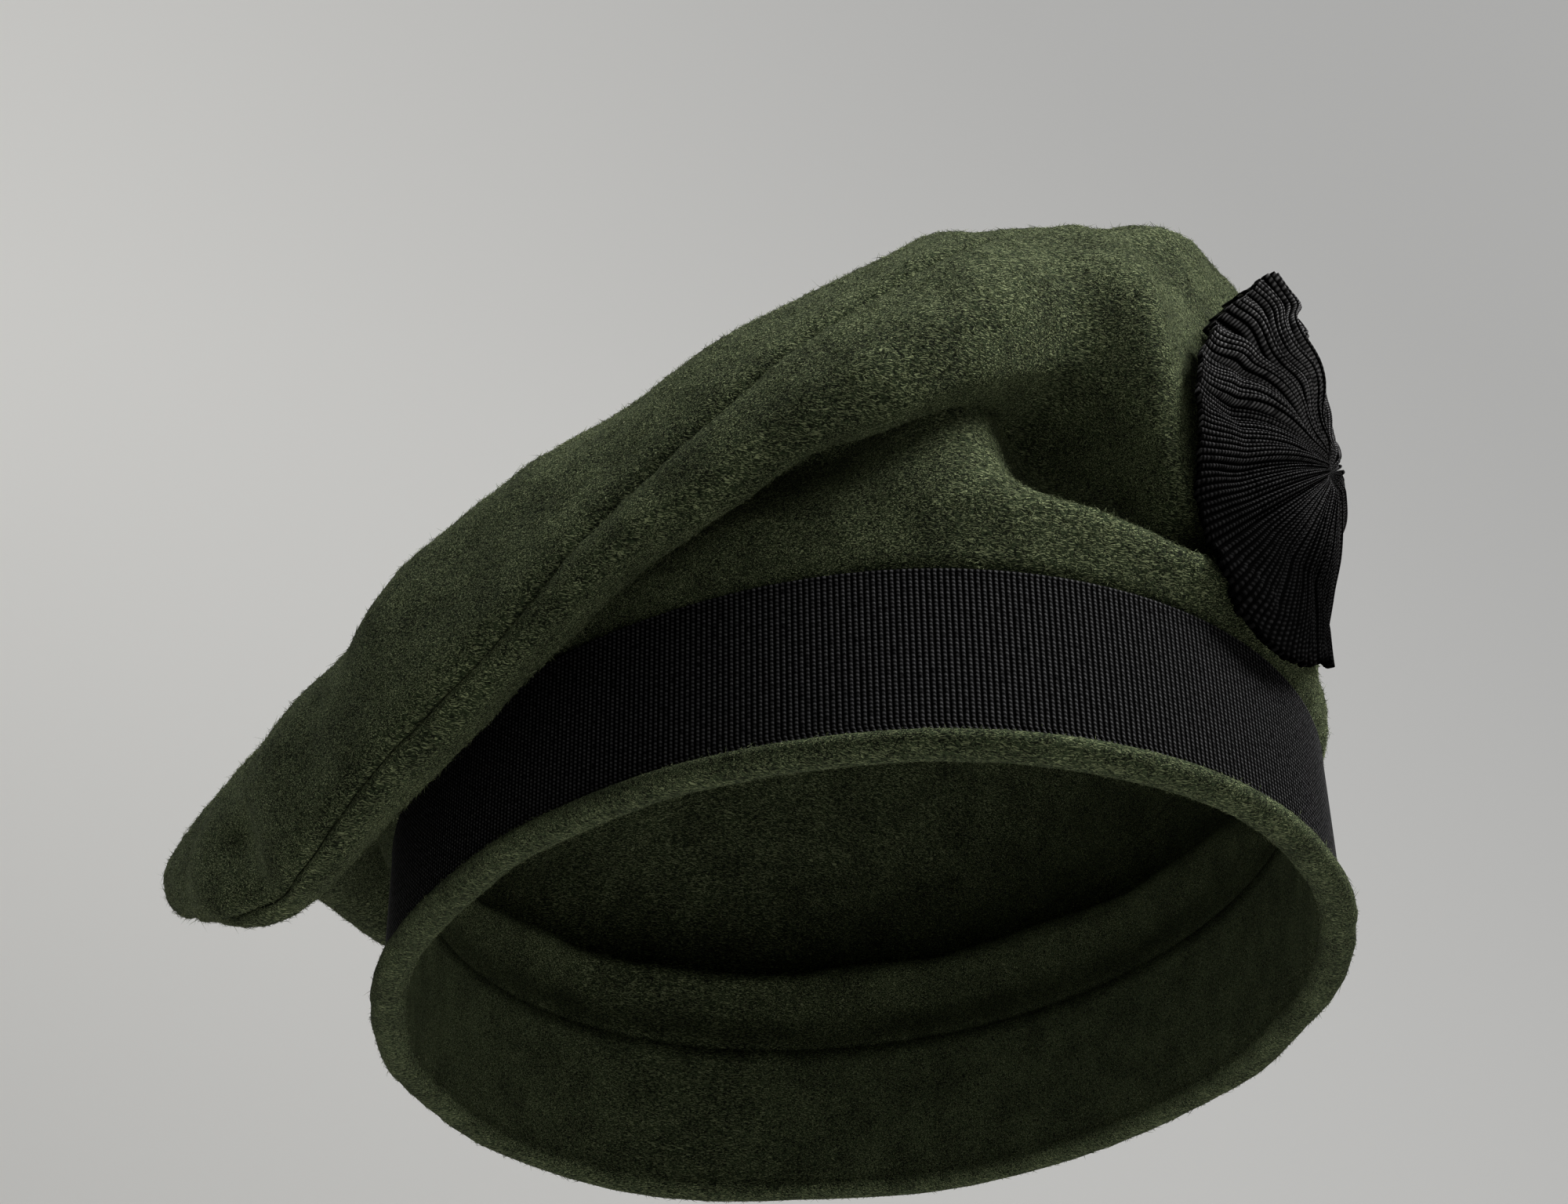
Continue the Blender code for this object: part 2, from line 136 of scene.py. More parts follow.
def soft_waves(points, size, seed, count=28):
    """Smooth noise of about the given size, in metres, from summed waves."""
    rng = np.random.default_rng(seed)
    way = rng.normal(size=(count, 3))
    turns = 2 * math.pi / size * rng.uniform(0.7, 1.4, count)
    way *= (turns / np.linalg.norm(way, axis=1))[:, None]
    phase = rng.uniform(0, 2 * math.pi, count)
    flat = points.reshape(-1, 3)
    waves = np.sin(flat @ way.T + phase).sum(1) * math.sqrt(2 / count)
    return waves.reshape(points.shape[:-1])


def grid_normals(grid):
    """Outward normals of a grid that closes round the hat."""
    around = np.roll(grid, -1, 0) - np.roll(grid, 1, 0)
    normal = np.cross(around, np.gradient(grid, axis=1))
    return normal / (np.linalg.norm(normal, axis=-1, keepdims=True) + 1e-12)


print("helpers ready")

# %% [markdown]
# ## Shader helpers
# A procedural material is a graph of nodes. Short helpers place a node, fill its
# inputs with values or links, and name the sums that come up again and again, so
# each material below reads as a list of steps.

# %% Helpers for shaders
def fill_inputs(tree, node, links):
    """Sets each input to a value, or links it to another node's output."""
    for key, value in links.items():
        if isinstance(value, bpy.types.NodeSocket):
            tree.links.new(value, node.inputs[key])
        else:
            node.inputs[key].default_value = value


def add_node(tree, kind, links=None, **settings):
    """Node with its settings, then its inputs."""
    node = tree.nodes.new(kind)
    for key, value in settings.items():
        setattr(node, key, value)
    fill_inputs(tree, node, links or {})
    return node


def new_group(name, inputs, outputs):
    """Empty shader group with named sockets, and its input and output nodes."""
    tree = bpy.data.node_groups.new(name, "ShaderNodeTree")
    for title, kind, value in inputs:
        socket = tree.interface.new_socket(title, in_out="INPUT", socket_type=kind)
        socket.default_value = value
    for title, kind in outputs:
        tree.interface.new_socket(title, in_out="OUTPUT", socket_type=kind)
    return tree, tree.nodes.new("NodeGroupInput"), tree.nodes.new("NodeGroupOutput")


def new_material(name):
    material = bpy.data.materials.new(name)
    material.use_nodes = True
    tree = material.node_tree
    return material, tree, tree.nodes["Principled BSDF"]


def add_noise(tree, place, scale, detail, roughness=0.5):
    return add_node(tree, "ShaderNodeTexNoise", {"Vector": place, "Scale": scale, "Detail": detail,
                                                 "Roughness": roughness})


def smooth_step(tree, value, low, high):
    node = add_node(tree, "ShaderNodeMapRange", {0: value, 1: low, 2: high},
                    interpolation_type="SMOOTHSTEP")
    return node.outputs[0]


def maths(tree, operation, first, second=0.5):
    """Output of one sum; an operation with one input leaves second unused."""
    node = add_node(tree, "ShaderNodeMath", {0: first, 1: second}, operation=operation)
    return node.outputs[0]


def scaled(tree, value, scale, extra):
    return maths(tree, "ADD", maths(tree, "MULTIPLY", value, scale), extra)


def from_one(tree, value):
    return maths(tree, "SUBTRACT", 1.0, value)


def from_half(tree, value):
    """How far the part of a number after its point lies from a half."""
    part = maths(tree, "FRACT", value)
    return maths(tree, "ABSOLUTE", maths(tree, "SUBTRACT", part, 0.5))


def blend_colours(tree, factor, first, second):
    node = add_node(tree, "ShaderNodeMix", {0: factor, 6: first, 7: second}, data_type="RGBA")
    return node.outputs[2]


print("shader helpers ready")

# %% [markdown]
# ## Felted wool
# Felt has no weave to see. Its surface is a cloudy mix of dark and lighter
# olive, with short pale fibres lying every way. The dark specks are partly the
# felt's own mottle and partly painted shade between the fibres. The fibres could
# be an image, but thin streaks of stretched noise, turned five ways and slightly
# curled, need none and hold their scale on every panel. The crown, the rim and
# the loose nap all use this group.

# %% Node group for felt
FELT_TURNS = ((0.2, 0.1, 0.4), (1.1, 0.3, 1.3), (0.4, 1.2, 2.2), (1.7, 0.8, 0.9), (0.9, 2.0, 2.8))
# Waves of noise in a millimetre, first along and across a fibre
FIBRE_WAVES = (0.80, 6.2, 6.2)
CURL_WAVES, CLOUD_WAVES, SPECK_WAVES = 0.55, 0.11, 1.9
CURL_REACH = (0.9, 0.9, 0.9)
FIBRE_EDGE, BODY_EDGE, PATCH_EDGE = (0.69, 0.75), (0.46, 0.60), (0.3, 0.7)


def make_felt_group():
    tree, source, result = new_group(
        "felt_fibres",
        [("Dark And Shade", "NodeSocketColor", (0.012, 0.018, 0.008, 1)),
         ("Body", "NodeSocketColor", (0.04, 0.055, 0.025, 1)),
         ("Pale", "NodeSocketColor", (0.16, 0.19, 0.09, 1)),
         ("Fibres", "NodeSocketFloat", 0.6)],
        [("Colour", "NodeSocketColor"), ("Height", "NodeSocketFloat")])
    place = add_node(tree, "ShaderNodeTexCoord").outputs["Object"]
    in_mm = add_node(tree, "ShaderNodeVectorMath", {0: place, 1: (1000, 1000, 1000)},
                     operation="MULTIPLY").outputs[0]
    curl = add_noise(tree, in_mm, CURL_WAVES, 1.0).outputs["Color"]
    bent = add_node(tree, "ShaderNodeVectorMath", {0: curl, 1: CURL_REACH, 2: in_mm},
                    operation="MULTIPLY_ADD").outputs[0]
    streaks = None
    for turn in FELT_TURNS:
        turned = add_node(tree, "ShaderNodeMapping",
                          {"Vector": bent, "Rotation": turn, "Scale": FIBRE_WAVES}).outputs[0]
        grain = add_noise(tree, turned, 1.0, 0.0).outputs["Fac"]
        streak = smooth_step(tree, grain, *FIBRE_EDGE)
        streaks = streak if streaks is None else maths(tree, "MAXIMUM", streaks, streak)
    cloud = add_noise(tree, in_mm, CLOUD_WAVES, 3.0, 0.6).outputs["Fac"]
    speck = add_noise(tree, in_mm, SPECK_WAVES, 3.0, 0.65).outputs["Fac"]
    # The dark specks are partly the felt's own mottle and partly painted shade, darkest where the
    # bump's specks lie low
    mixed = maths(tree, "ADD", maths(tree, "MULTIPLY", cloud, 0.25),
                  maths(tree, "MULTIPLY", speck, 0.83))
    body = blend_colours(tree, smooth_step(tree, mixed, *BODY_EDGE),
                         source.outputs["Dark And Shade"], source.outputs["Body"])
    patch = scaled(tree, smooth_step(tree, cloud, *PATCH_EDGE), 0.4, 0.6)
    fibres = maths(tree, "MULTIPLY", streaks, source.outputs["Fibres"])
    amount = maths(tree, "MULTIPLY", fibres, patch)
    fill_inputs(tree, result, {
        "Colour": blend_colours(tree, amount, body, source.outputs["Pale"]),
        "Height": maths(tree, "ADD", maths(tree, "MULTIPLY", streaks, 0.6),
                        maths(tree, "MULTIPLY", speck, 0.9))})
    return tree


felt_group = make_felt_group()
print("felt group has", len(felt_group.nodes), "nodes")

# %% Wool materials
WOOL_BUMP = 0.0006
# The dark colours are partly the felt's own dark mottle and partly painted shade between fibres
OLIVE_DARK_AND_SHADE = (0.0060, 0.0084, 0.0048)
OLIVE_BODY = (0.0360, 0.0508, 0.0240)
OLIVE_PALE = (0.400, 0.455, 0.240)
# The rim's body is a lighter copy of the crown's olive: painted light on the folded rim, whose lower
# half faces down into shade
RIM_BODY_PAINTED_LIGHTER = (0.046, 0.064, 0.031)
NAP_DARK_AND_SHADE, NAP_BODY, NAP_PALE = (0.022, 0.030, 0.014), (0.105, 0.132, 0.062), (0.42, 0.46, 0.27)


def make_wool(name, dark_and_shade, body, pale, fibres, bump, sheen):
    material, tree, shader = new_material(name)
    felt = add_node(tree, "ShaderNodeGroup",
                    {"Dark And Shade": (*dark_and_shade, 1), "Body": (*body, 1), "Pale": (*pale, 1), "Fibres": fibres},
                    node_tree=felt_group)
    rise = add_node(tree, "ShaderNodeBump",
                    {"Height": felt.outputs["Height"], "Strength": bump, "Distance": WOOL_BUMP})
    fill_inputs(tree, shader, {
        "Base Color": felt.outputs["Colour"], "Normal": rise.outputs[0], "Roughness": 0.95,
        "Specular IOR Level": 0.06, "Sheen Weight": sheen, "Sheen Roughness": 0.6,
        "Sheen Tint": (0.72, 0.85, 0.5, 1)})
    return material


crown_wool = make_wool("crown_wool", OLIVE_DARK_AND_SHADE, OLIVE_BODY, OLIVE_PALE, 0.90, 1.0, 0.05)
rim_wool_painted_light = make_wool("rim_wool_painted_light", OLIVE_DARK_AND_SHADE, RIM_BODY_PAINTED_LIGHTER, OLIVE_PALE, 0.75, 1.0, 0.05)
nap_wool = make_wool("nap_wool", NAP_DARK_AND_SHADE, NAP_BODY, NAP_PALE, 0.9, 0.0, 0.0)
print("wool materials:", crown_wool.name, rim_wool_painted_light.name, nap_wool.name)

# %% [markdown]
# ## The crown's form
# The real crown is two panels of felt. The side panel rises from the headband,
# folds over as a soft roll and meets the top panel at a seam. Cloth simulation
# could drape them, but the folds would land anywhere. Instead a section is
# written for each angle round the hat, as places of the wall, the tuck, the
# roll's lip, its belly, the seam, the brow and the shoulder, and smooth curves
# run through them both ways. An angle counts from the front, positive towards
# the wearer's left.

# %% Sizes of the hat
CLOTH = 0.0022
GAP = 0.0003
BAND_WALL = 0.0030
RIBBON_LIFT = 0.0034
RIBBON_WIDTH = 0.0295
BAND_HEIGHT = RIBBON_LIFT + RIBBON_WIDTH + 0.0005
HALF_WIDTH = 0.160 / 2 + BAND_WALL
HALF_LENGTH = 0.200 / 2 + BAND_WALL
CROWN_REACH, CROWN_RISE = 0.040, 0.100
CROWN_MIDDLE = np.array([0.002, 0.012])
CROWN_FILL = 0.003
print("headband is", round(BAND_HEIGHT / MM, 1), "mm high")

# %% Sections of the crown
# Columns: angle, wall, tuck, lip, belly, seam, brow, shoulder; each place is
# (out, up) in shares of CROWN_REACH and CROWN_RISE
SECTIONS = (
    (-150, (.08, .09), (.03, .18), (.38, .09), (.55, .12), (.63, .21), (.43, .37), (-.35, .58)),
    (-125, (.10, .08), (.10, .15), (.38, .07), (.60, .08), (.70, .13), (.68, .24), (-.08, .48)),
    (-105, (.10, .06), (.18, .08), (.42, -.02), (.66, -.08), (.88, -.14), (1.02, -.07), (.18, .36)),
    (-90, (.10, .04), (.20, .00), (.43, -.18), (.64, -.27), (.86, -.31), (1.02, -.20), (.22, .29)),
    (-75, (.10, .03), (.18, -.02), (.40, -.24), (.55, -.36), (.73, -.38), (.92, -.20), (.24, .27)),
    (-60, (.08, .04), (.13, .03), (.38, -.21), (.58, -.27), (.70, -.26), (.745, .04), (.03, .39)),
    (-50, (.05, .05), (.08, .10), (.30, -.12), (.50, -.16), (.60, -.12), (.55, .18), (-.13, .485)),
    (-40, (.05, .08), (.00, .17), (.28, .00), (.48, -.01), (.50, .08), (.38, .288), (-.25, .565)),
    (-30, (.05, .11), (-.05, .23), (.25, .10), (.43, .13), (.40, .26), (.235, .435), (-.345, .65)),
    (-20, (.05, .13), (-.10, .28), (.25, .205), (.38, .28), (.25, .45), (-.07, .63), (-.61, .772)),
    (-10, (.08, .13), (-.06, .37), (.18, .30), (.30, .41), (.08, .62), (-.30, .78), (-.85, .86)),
    (0, (.10, .12), (-.12, .37), (.04, .40), (.18, .55), (-.20, .78), (-.48, .842), (-1.05, .885)),
    (7, (.10, .095), (-.12, .28), (.11, .345), (.28, .56), (-.24, .84), (-.54, .895), (-1.10, .915)),
    (10, (.10, .085), (-.14, .19), (.09, .26), (.20, .55), (-.25, .86), (-.56, .918), (-1.13, .925)),
    (13, (.11, .085), (-.17, .14), (.05, .22), (.12, .55), (-.24, .885), (-.55, .938), (-1.14, .935)),
    (18, (.10, .070), (-.18, .14), (-.01, .21), (.06, .57), (-.18, .93), (-.48, .967), (-1.13, .945)),
    (25, (.10, .055), (-.16, .14), (.00, .24), (.02, .60), (-.13, .96), (-.42, 1.000), (-1.10, .97)),
    (42, (.08, .08), (.00, .17), (.08, .35), (.16, .60), (-.05, .925), (-.32, .975), (-1.00, .95)),
    (58, (.08, .09), (.05, .19), (.05, .37), (.10, .54), (.02, .79), (-.24, .885), (-.86, .94)),
    (73, (.08, .09), (.08, .20), (.28, .36), (.34, .50), (.18, .70), (-.12, .82), (-.72, .91)),
    (95, (.08, .09), (.06, .20), (.38, .29), (.47, .41), (.35, .58), (.06, .73), (-.55, .85)),
    (125, (.08, .09), (.05, .19), (.40, .17), (.60, .25), (.55, .41), (.25, .59), (-.45, .76)),
    (155, (.08, .09), (.03, .19), (.43, .09), (.63, .14), (.65, .27), (.35, .47), (-.40, .68)),
    (180, (.08, .09), (.03, .18), (.43, .05), (.63, .09), (.68, .20), (.40, .39), (-.35, .63)),
)
SEAM_PLACE, SHOULDER_PLACE = 5, 7
print(len(SECTIONS), "sections")

# %% Curves round the hat and up each section
def periodic(knots, values, angle):
    """Smooth curve through values at knots, in degrees, that closes after 360."""
    knots, values = np.asarray(knots, float), np.asarray(values, float)
    x = np.concatenate([knots[-2:] - 360, knots, knots[:3] + 360])
    y = np.concatenate([values[-2:], values, values[:3]])
    shape = (-1,) + (1,) * (y.ndim - 1)
    slope = np.zeros_like(y)
    slope[1:-1] = (y[2:] - y[:-2]) / (x[2:] - x[:-2]).reshape(shape)
    angle = (np.asarray(angle, float) - knots[0]) % 360 + knots[0]
    i = np.clip(np.searchsorted(x, angle, side="right") - 1, 1, len(x) - 3)
    step = (x[i + 1] - x[i]).reshape(shape)
    t = ((angle - x[i]) / (x[i + 1] - x[i])).reshape(shape)
    return ((2 * t**3 - 3 * t**2 + 1) * y[i] + (t**3 - 2 * t**2 + t) * step * slope[i]
            + (3 * t**2 - 2 * t**3) * y[i + 1] + (t**3 - t**2) * step * slope[i + 1])


def direction(angle):
    return np.stack([np.sin(np.radians(angle)), -np.cos(np.radians(angle))], -1)


def band_radius(angle):
    """From the origin to the headband's outer wall."""
    a = np.radians(angle)
    return 1.0 / np.hypot(np.sin(a) / HALF_WIDTH, np.cos(a) / HALF_LENGTH)


def crown_profiles(angle, places):
    """(out, up) of each section, in metres, at the given place numbers."""
    shares = periodic([row[0] for row in SECTIONS], [row[1:] for row in SECTIONS], angle)
    knots = shares * (CROWN_REACH, CROWN_RISE) + (0.0, BAND_HEIGHT)
    foot = np.zeros((len(knots), 1, 2))
    foot[..., 1] = BAND_HEIGHT + GAP
    knots = np.concatenate([foot, knots], 1)
    before, after = 2 * knots[:, :1] - knots[:, 1:2], 2 * knots[:, -1:] - knots[:, -2:-1]
    knots = np.concatenate([before, knots, after], 1)
    rows = []
    for place in places:
        s = min(int(place), SHOULDER_PLACE - 1)
        p0, p1, p2, p3 = (knots[:, s + k] for k in range(4))
        t1, t2, t3 = np.cumsum([np.sqrt(np.linalg.norm(b - a, axis=-1, keepdims=True)) + 1e-9
                                for a, b in ((p0, p1), (p1, p2), (p2, p3))], axis=0)
        t = t1 + (t2 - t1) * (place - s)
        a1 = (t1 - t) / t1 * p0 + t / t1 * p1
        a2 = (t2 - t) / (t2 - t1) * p1 + (t - t1) / (t2 - t1) * p2
        a3 = (t3 - t) / (t3 - t2) * p2 + (t - t2) / (t3 - t2) * p3
        b1 = (t2 - t) / t2 * a1 + t / t2 * a2
        b2 = (t3 - t) / (t3 - t1) * a2 + (t - t1) / (t3 - t1) * a3
        rows.append((t2 - t) / (t2 - t1) * b1 + (t - t1) / (t2 - t1) * b2)
    return np.stack(rows, 1)


print("band radius at the front and side in mm:", np.round(band_radius(np.array([0, 90])) / MM, 1))

# %% [markdown]
# ## Rows of the crown
# Rows stand closer beside the seam, because the cloth turns in sharply there.
# Inside the shoulder the top panel is the smoothest sheet that leaves the ring
# at its own slope: a plane plus the ring's waves, each fading to the middle.

# %% The crown's smooth face
COLUMNS = 448
MIDDLE_ROWS = 22
SEAM_STEPS = np.array([0.03, 0.07, 0.13, 0.22, 0.34])
side_places = np.concatenate([
    np.linspace(0, 1, 6)[:-1], np.linspace(1, 2, 7)[:-1], np.linspace(2, 3, 12)[:-1],
    np.linspace(3, 4, 10)[:-1], np.linspace(4, SEAM_PLACE - SEAM_STEPS[-1], 8)[:-1],
    (SEAM_PLACE - SEAM_STEPS)[::-1], [float(SEAM_PLACE)]])
top_places = np.concatenate([
    SEAM_PLACE + SEAM_STEPS, np.linspace(SEAM_PLACE + SEAM_STEPS[-1], 6, 8)[1:],
    np.linspace(6, SHOULDER_PLACE, 18)[1:]])
angles = -180 + 360 * np.arange(COLUMNS) / COLUMNS


def crown_face():
    """Grid of the crown from its foot to near its middle, its rows' places, and the middle."""
    places = np.concatenate([side_places, top_places])
    profile = crown_profiles(angles, places)
    reach = band_radius(angles)[:, None] + profile[..., 0]
    grid = np.concatenate([reach[..., None] * direction(angles)[:, None], profile[..., 1:]], -1)
    edge, last = grid[:, -1], grid[:, -1] - grid[:, -2]
    span = edge[:, :2] - CROWN_MIDDLE
    run = np.maximum(np.linalg.norm(last[:, :2], axis=1), 1e-6)
    fall = -last[:, 2] / run * np.linalg.norm(span, axis=1)
    level_and_slopes = np.column_stack([np.ones(COLUMNS), span])
    plane = np.linalg.lstsq(level_and_slopes, edge[:, 2], rcond=None)[0]
    wave = np.fft.rfft(edge[:, 2] - plane[0] - span @ plane[1:])
    tilt = np.fft.rfft(fall - span @ plane[1:])
    order = np.arange(len(wave))
    swell = (order * wave - tilt) / 2
    rows = []
    for s in 1 - np.arange(1, MIDDLE_ROWS + 1) / MIDDLE_ROWS:
        height = (plane[0] + span @ plane[1:] * s + CROWN_FILL * (1 - s * s) ** 2
                  + np.fft.irfft((wave + swell * (1 - s * s)) * s**order, COLUMNS))
        rows.append(np.column_stack([CROWN_MIDDLE + span * s, height]))
    middle = rows.pop()[0]
    grid = np.concatenate([grid, np.stack(rows, 1)], 1)
    places = np.concatenate([places, SHOULDER_PLACE + np.arange(1, MIDDLE_ROWS) / MIDDLE_ROWS])
    return grid, places, middle


smooth_face, places, middle_point = crown_face()
seam_row = len(side_places) - 1
print("crown grid", smooth_face.shape, "top at", round(smooth_face[..., 2].max() / MM, 1), "mm")

# %% [markdown]
# ## Dents and folds
# Worn wool holds the marks of handling: dimples and folds in the drooping lobe,
# and deep pits under the roll, beside the cockade. A pit is pushed level towards
# the hat's middle, so its floor stays upright, while a dent is a soft bump in the
# two directions of the grid, moved along the normal. Slow waves on top keep every
# stretch of cloth from looking turned on a lathe.

# %% Dents in the cloth
# Columns: angle, place, half width in degrees and in places, depth as a share of
# CROWN_REACH, below nought for a swell
DENTS = (
    (-79, 5.80, 3.6, 0.28, 0.085), (-77, 5.40, 2.6, 0.45, 0.060), (-83, 5.50, 3.0, 0.50, -0.030),
    (-67, 5.90, 3.0, 0.55, 0.045), (-56, 5.70, 4.0, 0.40, 0.022), (-12, 1.75, 5.0, 0.45, -0.040),
    (-20, 6.40, 9.0, 0.50, 0.030), (80, 2.50, 10.0, 0.60, -0.100),
    (-140, 6.50, 10.0, 0.50, 0.050),
)


def turn_from(at, angle):
    """Signed turn in degrees from one angle to others, at most half a round."""
    return (angle - at + 180) % 360 - 180


def dent(grid, dents):
    normal = grid_normals(grid)
    for at, place, half_angle, half_place, depth in dents:
        weight = (np.exp(-(turn_from(at, angles) / half_angle) ** 2)[:, None]
                  * np.exp(-((places - place) / half_place) ** 2)[None] * np.clip(places, 0, 1))
        grid = grid - normal * (weight * depth * CROWN_REACH)[..., None]
    return grid


def smooth_ramp(value, low, high):
    t = np.clip((value - low) / (high - low), 0, 1)
    return t * t * (3 - 2 * t)


# Columns: angle, half width in degrees, lowest and highest place, depth in
# millimetres, pushed level towards the hat's middle
PITS = (
    (0.8, 6.6, 1.02, 3.0, 12.0), (-10.0, 8.0, 2.0, 3.0, 3.5), (16.0, 5.5, 1.05, 2.5, 4.5),
)
PIT_FOOT, PIT_ROOF, PIT_SQUARENESS = 0.4, 0.22, 2.6


def push_in(grid, pits):
    grid = grid.copy()
    for at, half_angle, low, high, depth in pits:
        across = np.exp(-np.abs(turn_from(at, angles) / half_angle) ** PIT_SQUARENESS)
        upward = (smooth_ramp(places, low, low + PIT_FOOT)
                  * (1 - smooth_ramp(places, high - PIT_ROOF, high)))
        weight = across[:, None] * upward[None]
        grid[..., :2] -= direction(angles)[:, None] * (weight * depth * MM)[..., None]
    return grid


# Columns: size in metres, height in millimetres, seed
SLOW_WAVES = ((0.034, 0.35, 11), (0.013, 0.13, 12), (0.0055, 0.05, 13))
FREE_FROM = 0.8
worn_face = dent(push_in(smooth_face, PITS), DENTS)
# The foot stays on the band, so the waves fade out towards it
free = np.clip(places / FREE_FROM, 0, 1)[None]
slow = sum(soft_waves(worn_face, size, seed) * rise * MM for size, rise, seed in SLOW_WAVES)
worn_face = worn_face + grid_normals(worn_face) * (slow * free)[..., None]
print("deepest slow wave", round(np.abs(slow).max() / MM, 2), "mm")

# %% [markdown]
# ## The seam
# Two raw edges are turned inside and stitched, so from outside the seam is a
# narrow groove with a faint pucker where each stitch pulls. Moving the rows next
# to the seam inwards by their distance from it gives that groove real depth.

# %% Groove and pucker along the seam
STITCH, STITCH_DRIFT = 0.0042, 0.031
SEAM_DEPTH, SEAM_WIDTH = 0.85 * MM, 0.0008
PUCKER_DEPTH, PUCKER_WIDTH = 0.45 * MM, 0.0032
LIP_HEIGHT, LIP_PLACE, LIP_WIDTH = 0.30 * MM, 0.0048, 0.0026
TURNED_IN, TURNED_WIDTH = 0.0009, 0.005


def seam_distance(grid):
    steps = np.linalg.norm(np.diff(grid, axis=1), axis=-1)
    length = np.concatenate([np.zeros((len(grid), 1)), np.cumsum(steps, 1)], 1)
    return np.abs(length - length[:, seam_row:seam_row + 1])


away = seam_distance(worn_face)
seam_line = worn_face[:, seam_row]
ring_length = np.cumsum(np.linalg.norm(np.roll(seam_line, -1, 0) - seam_line, axis=1))
pucker = 1 + 0.35 * np.sin(ring_length / STITCH * 2 * math.pi
                           + 1.7 * np.sin(ring_length / STITCH_DRIFT))
groove = (SEAM_DEPTH * np.exp(-(away / SEAM_WIDTH) ** 2)
          + PUCKER_DEPTH * pucker[:, None] * np.exp(-(away / PUCKER_WIDTH) ** 2))
swell = LIP_HEIGHT * np.exp(-((away - LIP_PLACE) / LIP_WIDTH) ** 2)
normal = grid_normals(worn_face)
normal[:, 0] = np.column_stack([direction(angles), np.zeros(COLUMNS)])
face = worn_face - normal * (groove - swell)[..., None]
thickness = CLOTH + TURNED_IN * np.exp(-(away / TURNED_WIDTH) ** 2)
lining = worn_face - normal * thickness[..., None]
print("seam is", round(ring_length[-1] / MM), "mm round")

# %% Side panel and top panel
along = face[:, seam_row + 1] - face[:, seam_row - 1]
along = along / np.linalg.norm(along, axis=1, keepdims=True) * GAP / 2


def panel(first, last, first_shift, last_shift):
    """Outer and inner grid of the rows from first to last, drawn apart at the seam."""
    cut = [grid[:, first:last + 1].copy() for grid in (face, lining)]
    for grid in cut:
        grid[:, 0] += first_shift
        grid[:, -1] += last_shift
    return cut


side_outer, side_inner = panel(0, seam_row, 0, -along)
top_outer, top_inner = panel(seam_row, face.shape[1] - 1, along, 0)
top_normal = normal[:, -1].mean(0) / np.linalg.norm(normal[:, -1].mean(0))
crown_side = add_piece("crown_side_wool", *closed_cloth(side_outer, side_inner), crown_wool,
                       "olive_wool", ["crown_side"])
crown_top = add_piece("crown_top_wool",
                      *closed_cloth(top_outer, top_inner, middle_point,
                                    middle_point - top_normal * CLOTH),
                      crown_wool, "olive_wool", ["crown_top"])

# %% [markdown]
# ## Headband
# The band is wool folded double. The fold is the rounded green rim that shows
# under the ribbon. A ring of one section would be perfect in a way that sewn
# wool never is, so its rim swells and wanders by a few tenths of a millimetre.

# %% Headband ring
BAND_COLUMNS = 432
band_angles = -180 + 360 * np.arange(BAND_COLUMNS) / BAND_COLUMNS


def around_band(section, wander):
    """Grid of a section's (out, up) points, in metres, carried round the band."""
    section = np.asarray(section, float)
    out = np.broadcast_to(section[:, 0], (BAND_COLUMNS, len(section))).copy()
    rise = np.broadcast_to(section[:, 1], (BAND_COLUMNS, len(section))).copy()
    out, rise = wander(out, rise)
    reach = band_radius(band_angles)[:, None] + out
    flat = reach[..., None] * direction(band_angles)[:, None]
    return np.concatenate([flat, rise[..., None]], -1)


# The fold is a rounded rim whose upper half is a little flatter
FOLD_MIDDLE, FOLD_REACH, UPPER_SHARE = (-0.00010, 0.0024), (0.00330, 0.00245), 0.8
fold = []
for t in np.radians(np.linspace(200, -40, 15)):
    drop = FOLD_REACH[1] * math.sin(t) * (1 if math.sin(t) > 0 else UPPER_SHARE)
    fold.append((FOLD_MIDDLE[0] + FOLD_REACH[0] * math.cos(t), FOLD_MIDDLE[1] - drop))
BAND_SECTION = ([(-BAND_WALL, h) for h in np.linspace(BAND_HEIGHT, 0.0044, 10)] + fold
                + [(0.0, h) for h in np.linspace(RIBBON_LIFT + 0.0012, BAND_HEIGHT, 10)])
RING_RADIUS = 0.09


def rim_wander(out, rise):
    """Lets the rim, but not the band above it, swell and wander."""
    low = np.clip(1 - rise / 0.006, 0, 1)
    ring = np.column_stack([direction(band_angles) * RING_RADIUS, np.zeros(BAND_COLUMNS)])
    slow_out = (soft_waves(ring, 0.040, 21)[:, None] * 0.22 * MM
                + soft_waves(ring, 0.009, 22)[:, None] * 0.10 * MM)
    slow_rise = soft_waves(ring, 0.050, 23)[:, None] * 0.20 * MM
    return out + slow_out * low, rise + (slow_rise + 0.1 * MM) * low


band_grid = around_band(BAND_SECTION, rim_wander)
section_size = len(BAND_SECTION)
inner_edge = np.arange(BAND_COLUMNS) * section_size
outer_edge = inner_edge + section_size - 1
top_faces = np.stack([outer_edge, np.roll(outer_edge, -1), np.roll(inner_edge, -1), inner_edge], -1)
band_faces = band_of_quads(BAND_COLUMNS, section_size).tolist() + top_faces.tolist()
headband = add_piece("headband_wool", band_grid.reshape(-1, 3), band_faces, rim_wool_painted_light,
                     "olive_wool", ["headband"])

# %% [markdown]
# ## Nap
# Fine fibres stand off the felt. They catch the light as pale specks and blur
# the outline against the backdrop. A hair system can't be exported as a mesh, so
# each fibre is a thin closed spike, scattered evenly over the panels with a
# fixed seed.

# %% Scatter fibres over a grid
FIBRE_WIDTH, STANDING_SHARE = 0.00013, 0.15
STANDING_TURN, LYING_TURN = (30, 75), (4, 22)


